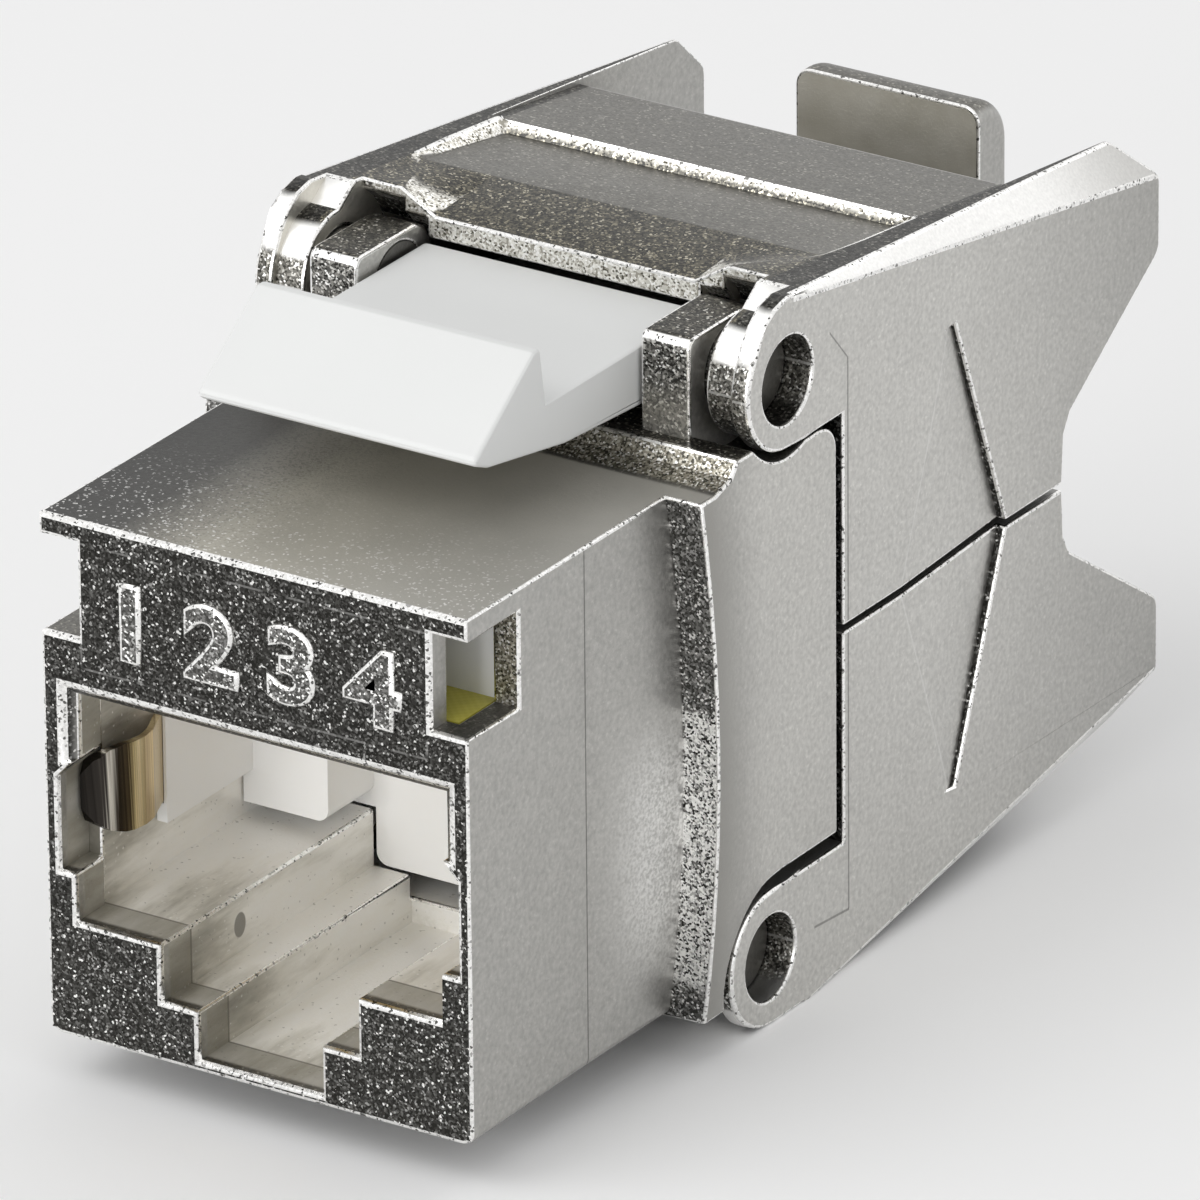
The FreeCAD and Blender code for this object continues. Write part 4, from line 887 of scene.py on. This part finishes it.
    def _arrow_edge(self, graph: Graph, spot: Spot) -> Wire:
        """Return the line along the arrow's front edge, where a highlight is painted.

        Args:
            graph: the graph that takes the nodes.
            spot: the point as wires.

        Returns:
            The mask, from 0 to 1.
        """
        front, foot = self.arrow_front
        point, top = self.arrow_point
        slope = (point - front) / (top - foot)
        edge = graph.line(spot.y - slope * spot.rise, front - slope * foot, 0.05)
        return edge * graph.band(spot.rise, foot, top)

    def tops(self, graph: Graph, spot: Spot) -> Wire:
        """Return the panel's colour: golden grain before the fold, calm behind it, rims beside it painted
        dark as a reflection.

        Args:
            graph: the graph that takes the nodes.
            spot: the point as wires.

        Returns:
            The colour.
        """
        body = graph.blend(graph.step(spot.y, self.fold - 0.05, self.fold + 0.05),
                           speckled(graph, spot.grain, self.GOLDEN), super().tops(graph, spot))
        body = graph.blend(graph.line(spot.y, self.hem, 0.06) * 0.6, body, grey(196))
        # Rim tops painted dark as a reflection.
        rim = graph.past(spot.aside, self.rim_inside, 0.05)
        rim = rim * graph.before(spot.y, self.rim_end, 0.4)
        return graph.blend(rim, body, speckled(graph, spot.grain, self.RIM))

    def front_grain_and_reflection(self, graph: Graph, spot: Spot) -> Wire:
        """Return the sparkling hubs with their seam, the lip and riser painted bright as highlights, and the
        rest dark as a painted reflection.

        Args:
            graph: the graph that takes the nodes.
            spot: the point as wires.

        Returns:
            The colour.
        """
        ears = self._ear_mask(graph, spot)
        body = graph.blend(ears, super().front_grain_and_reflection(graph, spot), speckled(graph, spot.grain, self.HUB))
        body = graph.blend(ears * graph.line(spot.rise, self.hub_height, 0.05) * 0.6, body, grey(236))
        # Painted highlights: the lip and the riser's top bright cream, the riser's foot golden.
        lip = graph.band(spot.y, *self.lip) * graph.before(spot.aside, self.lip_half, 0.05)
        riser = graph.band(spot.y, *self.riser) * graph.before(spot.aside, self.wing_inside, 0.05)
        foot = riser * graph.past(spot.rise, self.riser_foot)
        body = graph.blend(foot, body, speckled(graph, spot.grain, self.GOLDEN, 1.5))
        bright = lip * graph.past(spot.rise, self.ear_shoulder)
        bright = bright + riser * graph.past(spot.rise, self.riser_crest, 0.14)
        return graph.blend(bright, body, speckled(graph, spot.grain, self.CREAM))


@dataclass(frozen=True)
class BrightEdge(Finish):
    """The polished edge of a nickel-plated casting, its colour painted bright in patches as a highlight."""

    highlight_patch: float = 0.07

    POLISH_HIGHLIGHT: ClassVar[Stops] = ((0.0, grey(104)), (0.06, grey(176)), (0.15, grey(238)), (0.6, grey(253)))

    def sockets(self, graph: Graph) -> Sockets:
        """Return the shader's inputs.

        Args:
            graph: the graph that takes the nodes.

        Returns:
            The value or wire of each socket.
        """
        vector = graph.places()[0]
        # Painted highlight: the edge's colour bright in patches.
        colour = graph.ramp(graph.cells(vector, self.highlight_patch)[0], self.POLISH_HIGHLIGHT, constant=True)
        return {"Base Color": colour, "Metallic": 1.0, "Roughness": 0.2,
                "Normal": graph.bump(graph.noise(vector, 0.1), depth=0.01, strength=0.3)}


@dataclass(frozen=True)
class Moulding(Finish):
    """A plain moulded plastic with a faint texture."""

    colour: Colour = (0.8, 0.8, 0.8, 1.0)
    gloss: float = 0.42
    texture: float = 0.2
    cloud: float = 3.0

    def sockets(self, graph: Graph) -> Sockets:
        """Return the shader's inputs.

        Args:
            graph: the graph that takes the nodes.

        Returns:
            The value or wire of each socket.
        """
        vector = graph.places()[0]
        fine = graph.noise(vector, self.texture, 3.0)
        clouds = graph.noise(vector, self.cloud)
        return {
            "Base Color": graph.scale_colour(self.colour, 0.97 + 0.04 * clouds),
            "Roughness": self.gloss + 0.08 * fine,
            "Normal": graph.bump(fine, depth=0.01, strength=0.12),
        }


@dataclass(frozen=True)
class BoardResin(Finish):
    """Olive glass-fibre board with a faint weave."""

    weave: float = 22.0
    dark: Colour = tone(196, 188, 74)
    light: Colour = tone(202, 194, 84)

    def sockets(self, graph: Graph) -> Sockets:
        """Return the shader's inputs.

        Args:
            graph: the graph that takes the nodes.

        Returns:
            The value or wire of each socket.
        """
        vector, x, y, _ = graph.places()
        first, second = (graph.node("ShaderNodeMath", {"operation": "SINE"}, {0: way * self.weave})[0]
                         for way in (x, y))
        threads = graph.step(first * second, -0.4, 0.4)
        colour = graph.blend(threads, self.dark, self.light)
        return {"Base Color": graph.scale_colour(colour, 0.7 + 0.6 * graph.noise(vector, 1.2)),
                "Roughness": 0.3, "Normal": graph.bump(threads, depth=0.004, strength=0.1)}


@dataclass(frozen=True)
class PlainMetal(Finish):
    """A thin drawn or stamped metal part."""

    colour: Colour = (0.8, 0.6, 0.3, 1.0)
    roughness: float = 0.25
    streak: float = 0.25

    def sockets(self, graph: Graph) -> Sockets:
        """Return the shader's inputs.

        Args:
            graph: the graph that takes the nodes.

        Returns:
            The value or wire of each socket.
        """
        streaks = graph.noise(graph.places()[0], self.streak)
        return {"Base Color": graph.scale_colour(self.colour, 0.8 + 0.4 * streaks), "Metallic": 1.0,
                "Roughness": self.roughness, "Normal": graph.bump(streaks, depth=0.005, strength=0.2)}


@dataclass(frozen=True)
class SpringBronze(Finish):
    """Bronze leaf spring, coloured dark at its front and pale gold towards its rear, with a bright band and
    streaks painted as reflections.
    """

    front: float = 0.95
    length: float = 2.4

    # A narrow bright band between dark stretches is painted as a reflection.
    BRONZE: ClassVar[Stops] = (
        (0.0, tone(30, 28, 26)), (0.16, tone(62, 58, 54)), (0.22, tone(190, 184, 172)),
        (0.28, tone(58, 52, 46)), (0.42, tone(92, 80, 62)), (0.5, tone(206, 188, 144)),
        (0.56, tone(232, 216, 178)), (0.72, tone(164, 142, 104)), (1.0, tone(206, 186, 144)))

    def sockets(self, graph: Graph) -> Sockets:
        """Return the shader's inputs.

        Args:
            graph: the graph that takes the nodes.

        Returns:
            The value or wire of each socket.
        """
        _, _, y, z = graph.places()
        along = (y - self.front) / self.length
        streak = graph.node("ShaderNodeTexNoise", {"noise_dimensions": "1D"}, {
            "W": y * 16.0 + z * 0.6, "Scale": 1.0})["Fac"]
        colour = graph.ramp(along + 0.1 * (streak - 0.5), self.BRONZE)
        # The streaks brighten and darken the colour as painted reflections.
        return {"Base Color": graph.scale_colour(colour, 0.55 + 0.9 * streak), "Metallic": 1.0,
                "Roughness": 0.22, "Normal": graph.bump(streak, depth=0.01, strength=0.2)}


class Body(Enum):
    """The moving bodies of the jack."""

    HOUSING = "housing"
    UPPER = "upper_jaw"
    LOWER = "lower_jaw"
    LATCH = "latch"


@dataclass(frozen=True)
class EdgeRule:
    """How wide the bevel is on the sharp edges that a test picks by their middle, in millimetres."""

    width: float
    segments: int
    picks: Callable[[Vector], bool]


def everywhere(_: Vector) -> bool:
    """Pick every place."""
    return True


@dataclass
class Casting:
    """A piece with bevelled edges that stands for one CAD node of the same shape.

    sharp and flat are the least angle of a sharp edge and the most of a flat one, in degrees, and
    merge is how near two corners count as one, in millimetres.
    """

    node: str
    label: str
    body: Body
    slot: str
    finishes: Sequence[Finish]
    rules: Sequence[EdgeRule]
    sharp: float = 28.0
    flat: float = 0.3
    merge: float = 0.002

    def build(self) -> bpy.types.Object:
        """Make the bevelled piece and hang it on its body.

        Returns:
            The new object.
        """
        shape = bmesh.new()
        shape.from_mesh(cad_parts[self.node].data)
        bmesh.ops.remove_doubles(shape, verts=shape.verts, dist=self.merge * MM)
        bmesh.ops.dissolve_limit(shape, angle_limit=math.radians(self.flat), verts=shape.verts,
                                 edges=shape.edges)
        for face in shape.faces:
            face.material_index = 0
        for rule in self.rules:
            self._bevel(shape, rule)
        shape.normal_update()
        for face in shape.faces:
            face.smooth = True
        for edge in shape.edges:
            edge.smooth = len(edge.link_faces) == 2 and edge.calc_face_angle() < math.radians(self.sharp)
        mesh = bpy.data.meshes.new(self.label)
        shape.to_mesh(mesh)
        shape.free()
        for finish in self.finishes:
            mesh.materials.append(finish.material())
        made = bpy.data.objects.new(self.label, mesh)
        bpy.context.collection.objects.link(made)
        weighted = made.modifiers.new("even_normals", "WEIGHTED_NORMAL")
        weighted.weight = 100
        weighted.keep_sharp = True
        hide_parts(self.node)
        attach(made, self.body.value)
        log.info("%s: %d faces", self.label, len(mesh.polygons))
        return made

    def _bevel(self, shape: bmesh.types.BMesh, rule: EdgeRule) -> None:
        """Bevel the sharp outward edges that a rule picks.

        Args:
            shape: the mesh being worked on.
            rule: the width and the test.
        """
        shape.normal_update()
        limit = math.radians(self.sharp)
        chosen = []
        for edge in shape.edges:
            if len(edge.link_faces) != 2 or not edge.is_convex:
                continue
            if any(face.material_index for face in edge.link_faces):
                continue
            if edge.calc_face_angle() < limit:
                continue
            middle = (edge.verts[0].co + edge.verts[1].co) / (2 * MM)
            if rule.picks(middle):
                chosen.append(edge)
        if chosen:
            bmesh.ops.bevel(shape, geom=chosen, offset=rule.width * MM, offset_type="OFFSET",
                            segments=rule.segments, profile=0.5, affect="EDGES", clamp_overlap=False,
                            material=len(self.finishes) - 1, loop_slide=True)


@dataclass
class Castings:
    """The nickel-plated castings: the front housing and the two jaws.

    fine, front, ear_edge and thin are bevel widths; the rest are places and how near to them an
    edge's middle has to lie, all in millimetres.
    """

    upper_axis: tuple[float, float] = (14.84, 18.48)
    lower_axis: tuple[float, float] = (13.82, 0.72)
    ear_radius: float = 2.12
    side: float = 8.46
    fine: float = 0.09
    front: float = 0.15
    ear_edge: float = 0.12
    thin: float = 0.04
    near: float = 0.05
    ear_near: float = 0.12
    wing_near: float = 0.08
    lip_near: float = 0.1
    mouth_reach: float = 7.15
    wing_inside: float = 7.41
    wing_start: float = 24.0
    lip: tuple[float, float] = (16.15, -1.2)

    def _on_thin_rim(self, place: Vector) -> bool:
        """Pick the inner rims of the wings and the lower jaw's front lip, too thin for a wide edge."""
        wing = abs(abs(place.x) - self.wing_inside) < self.wing_near and place.y > self.wing_start
        return wing or (abs(place.y - self.lip[0]) < self.lip_near and place.z < self.lip[1])

    def _on_ear(self, axis: tuple[float, float]) -> Callable[[Vector], bool]:
        """Make a test for the outer rim of an ear.

        Args:
            axis: Y and Z of the ear's middle in millimetres.

        Returns:
            The test, for an edge's middle.
        """
        def test(place: Vector) -> bool:
            """Pick the rim."""
            away = math.hypot(place.y - axis[0], place.z - axis[1])
            return abs(away - self.ear_radius) < self.ear_near and abs(abs(place.x) - self.side) < self.near
        return test

    def _in_front(self, place: Vector) -> bool:
        """Pick the mouth's edges and the shelf's front edge."""
        return abs(place.y) < self.near and abs(place.x) < self.mouth_reach

    def build(self) -> None:
        """Make the three castings."""
        # The bevels take the edge finish, painted bright as a highlight.
        edge = BrightEdge("nickel_edge")
        plain = EdgeRule(self.fine, 2, everywhere)
        Casting("front_housing", "housing_casting", Body.HOUSING, "nickel_plate",
                (HousingNickel("housing_nickel"), edge),
                (EdgeRule(self.front, 2, self._in_front), plain)).build()
        for node, body, axis, finish in (
                ("upper_jaw", Body.UPPER, self.upper_axis, JawNickel("upper_jaw_nickel", side=196.0)),
                ("lower_jaw", Body.LOWER, self.lower_axis,
                 JawNickel("lower_jaw_nickel", side=196.0, sign=-1.0, seam_turn=(8.99, -0.08, 1.86)))):
            Casting(node, f"{node}_casting", body, "nickel_plate", (finish, edge),
                    (EdgeRule(self.thin, 2, self._on_thin_rim),
                     EdgeRule(self.ear_edge, 3, self._on_ear(axis)), plain)).build()


@dataclass
class Latch:
    """The white plastic latch on the housing."""

    rounding: float = 0.14
    colour: Colour = tone(222, 223, 222)

    def build(self) -> None:
        """Make the latch with rounded edges."""
        Casting("keystone_latch", "latch_moulding", Body.LATCH, "latch_plastic",
                (Moulding("latch_white", self.colour),), (EdgeRule(self.rounding, 3, everywhere),)).build()


@dataclass
class Inner:
    """The pieces inside the housing keep their CAD shapes and get their finishes."""

    finishes: dict[str, Finish] = field(default_factory=lambda: {
        "contact_insert": Moulding("insert_white", tone(254, 254, 253), 0.35),
        "idc_block": Moulding("block_white", tone(240, 240, 238), 0.4),
        "wire_manager": Moulding("manager_white", tone(236, 236, 232), 0.45),
        "circuit_board": BoardResin("olive_resin"),
        "contact_wire": PlainMetal("contact_gold", tone(226, 190, 110)),
        "idc_contact": PlainMetal("contact_tin", tone(200, 198, 190), 0.3),
        "shield_spring": SpringBronze("spring_bronze"),
        "upper_hinge_pin": CastNickel("pin_nickel", side=110.0),
        "lower_hinge_pin": CastNickel("lower_pin_nickel", side=110.0),
    })

    def build(self) -> None:
        """Give each inner node its finish."""
        for start, finish in self.finishes.items():
            material = finish.material()
            for name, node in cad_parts.items():
                if name.startswith(start):
                    for slot in node.material_slots:
                        slot.material = material
                    log.info("%s: %s", name, finish.name)


@dataclass
class ContactNumbers:
    """Raised plain numbers on the front plate, one for each wire pair, with sizes in millimetres.

    figure_height is the height of a figure in the built-in font at size 1.
    """

    text: str = "1234"
    pitch: float = 2.75
    base: float = 12.5
    height: float = 2.3
    narrow: float = 1.15
    relief: float = 0.05
    boldness: float = 0.06
    rim: float = 0.12
    rim_steps: int = 2
    curve_steps: int = 5
    figure_height: float = 0.7
    front_facing: float = -0.99

    def build(self) -> None:
        """Make the row of raised figures."""
        shape = bmesh.new()
        for place, figure in enumerate(self.text):
            across = (place - (len(self.text) - 1) / 2) * self.pitch
            self._add_figure(shape, figure, across)
        mesh = bpy.data.meshes.new("contact_numbers")
        shape.to_mesh(mesh)
        shape.free()
        # The figures' fronts are painted lighter than the plate's painted reflection, and their rims bright
        # as a painted highlight.
        mesh.materials.append(CastNickel("number_nickel", front_reflection_level=1.7).material())
        mesh.materials.append(BrightEdge("number_edge").material())
        made = bpy.data.objects.new("contact_numbers", mesh)
        bpy.context.collection.objects.link(made)
        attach(made, Body.HOUSING.value)
        log.info("contact_numbers: %d faces", len(mesh.polygons))

    def _add_figure(self, shape: bmesh.types.BMesh, figure: str, across: float) -> None:
        """Add one raised figure to the mesh.

        Args:
            shape: the mesh that takes it.
            figure: the figure to draw.
            across: its middle along X in millimetres.
        """
        curve = bpy.data.curves.new("figure", "FONT")
        curve.body = figure
        curve.align_x = "CENTER"
        curve.size = 1.0
        unit = self.height / self.figure_height
        curve.offset = self.boldness / unit
        curve.extrude = self.relief / unit
        curve.bevel_depth = self.rim / unit
        curve.bevel_resolution = self.rim_steps
        curve.resolution_u = self.curve_steps
        holder = bpy.data.objects.new("figure", curve)
        bpy.context.collection.objects.link(holder)
        mesh = bpy.data.meshes.new_from_object(holder.evaluated_get(bpy.context.evaluated_depsgraph_get()))
        tall = max(corner.co.y for corner in mesh.vertices)
        size = self.height / tall * MM
        turn = Matrix(((self.narrow * size, 0, 0, across * MM), (0, 0, -size, 0),
                       (0, size, 0, self.base * MM), (0, 0, 0, 1)))
        first = len(shape.faces)
        mesh.transform(turn)
        shape.from_mesh(mesh)
        shape.faces.ensure_lookup_table()
        for face in shape.faces[first:]:
            face.normal_update()
            face.material_index = 0 if face.normal.y < self.front_facing else 1
        bpy.data.objects.remove(holder)
        bpy.data.curves.remove(curve)
        bpy.data.meshes.remove(mesh)


@dataclass
class Studio:
    """The pale floor, the soft lamps, the white surroundings and the camera.

    Angles are in degrees; distance and target are in millimetres; each lamp has its name, its place
    and side in metres and its power in watts.
    """

    azimuth: float = 33.43
    elevation: float = 24.14
    roll: float = 0.608
    distance: float = 475.6
    target: tuple[float, float, float] = (0.0, 14.0, 9.0)
    focal_pixels: float = 16454.0
    photo_size: float = 1200.0
    axis_point: tuple[float, float] = (526.2, 630.3)
    sensor: float = 36.0
    sky: float = 0.7
    floor_colour: Colour = (0.93, 0.93, 0.93, 1.0)
    floor_half: float = 1.2
    floor_cloud: float = 60.0
    clip: tuple[float, float] = (0.01, 20.0)
    lamps: Sequence[tuple[str, tuple[float, float, float], float, float]] = (
        ("key_lamp", (-0.16, -0.2, 0.3), 0.22, 0.32),
        ("front_lamp", (-0.02, -0.42, 0.08), 0.2, 0.68),
        ("fill_lamp", (0.34, -0.05, 0.2), 0.2, 0.03),
        ("back_lamp", (0.05, 0.32, 0.28), 0.2, 0.12),
    )

    def build(self) -> None:
        """Make the whole set."""
        self._floor()
        self._world()
        for name, place, size, power in self.lamps:
            self._lamp(name, Vector(place), size, power)
        self._camera()
        log.info("studio: floor, %d lamps and camera", len(self.lamps))

    def _floor(self) -> None:
        """Make the pale floor under the lowest point."""
        low = cad_box[0][2]
        half = self.floor_half
        mesh = bpy.data.meshes.new("floor")
        mesh.from_pydata([(-half, -half, low), (half, -half, low), (half, half, low), (-half, half, low)],
                         [], [(0, 1, 2, 3)])
        material = bpy.data.materials.new("pale_floor")
        material.use_nodes = True
        graph = Graph(material.node_tree)
        cloud = graph.noise(graph.node("ShaderNodeTexCoord")["Object"], self.floor_cloud)
        shader = graph.node("ShaderNodeBsdfPrincipled", {}, {
            "Base Color": graph.scale_colour(self.floor_colour, 0.99 + 0.02 * cloud), "Roughness": 0.9})
        graph.node("ShaderNodeOutputMaterial", {}, {"Surface": shader["BSDF"]})
        mesh.materials.append(material)
        made = bpy.data.objects.new("floor", mesh)
        bpy.context.collection.objects.link(made)

    def _world(self) -> None:
        """Make surroundings that look white and light at a plain level."""
        world = bpy.data.worlds.new("surroundings")
        world.use_nodes = True
        bpy.context.scene.world = world
        graph = Graph(world.node_tree)
        path = graph.node("ShaderNodeLightPath")
        seen = path["Is Camera Ray"] + path["Is Glossy Ray"] + path["Is Transmission Ray"]
        strength = self.sky + (1.0 - self.sky) * graph.step(seen, 0.0, 1.0)
        sky = graph.node("ShaderNodeBackground", {}, {"Color": (1.0, 1.0, 1.0, 1.0), "Strength": strength})
        graph.node("ShaderNodeOutputWorld", {}, {"Surface": sky[0]})

    def _lamp(self, name: str, place: Vector, size: float, power: float) -> None:
        """Make one soft square lamp that looks at the jack.

        Args:
            name: its name.
            place: where it stands, in metres.
            size: its side, in metres.
            power: its power, in watts.
        """
        data = bpy.data.lights.new(name, "AREA")
        data.size = size
        data.energy = power
        made = bpy.data.objects.new(name, data)
        made.location = place
        aim = Vector(self.target) * MM
        made.rotation_mode = "QUATERNION"
        made.rotation_quaternion = (aim - place).to_track_quat("-Z", "Y")
        bpy.context.collection.objects.link(made)

    def _camera(self) -> None:
        """Make the camera at the photo's viewing angle."""
        turn, tilt, roll = (math.radians(angle) for angle in (self.azimuth, self.elevation, self.roll))
        right = Vector((math.cos(turn), math.sin(turn), 0.0))
        back = Vector((math.sin(turn) * math.cos(tilt), -math.cos(turn) * math.cos(tilt), math.sin(tilt)))
        up = back.cross(right)
        camera_right = right * math.cos(roll) - up * math.sin(roll)
        camera_up = right * math.sin(roll) + up * math.cos(roll)
        data = bpy.data.cameras.new("photo_camera")
        data.sensor_width = self.sensor
        data.lens = self.sensor * self.focal_pixels / self.photo_size
        middle = self.photo_size / 2
        data.shift_x = (middle - self.axis_point[0]) / self.photo_size
        data.shift_y = (self.axis_point[1] - middle) / self.photo_size
        data.clip_start, data.clip_end = self.clip
        made = bpy.data.objects.new("photo_camera", data)
        place = (Vector(self.target) + back * self.distance) * MM
        made.matrix_world = Matrix((
            (camera_right.x, camera_up.x, back.x, place.x),
            (camera_right.y, camera_up.y, back.y, place.y),
            (camera_right.z, camera_up.z, back.z, place.z),
            (0.0, 0.0, 0.0, 1.0)))
        bpy.context.collection.objects.link(made)
        bpy.context.scene.camera = made


def main() -> None:
    """Build the set and every piece in order."""
    logging.basicConfig(level=logging.INFO, format="%(name)s %(message)s")
    bpy.context.scene.view_settings.view_transform = "Standard"
    Studio().build()
    Castings().build()
    Latch().build()
    Inner().build()
    ContactNumbers().build()


if __name__ == "__main__":
    main()
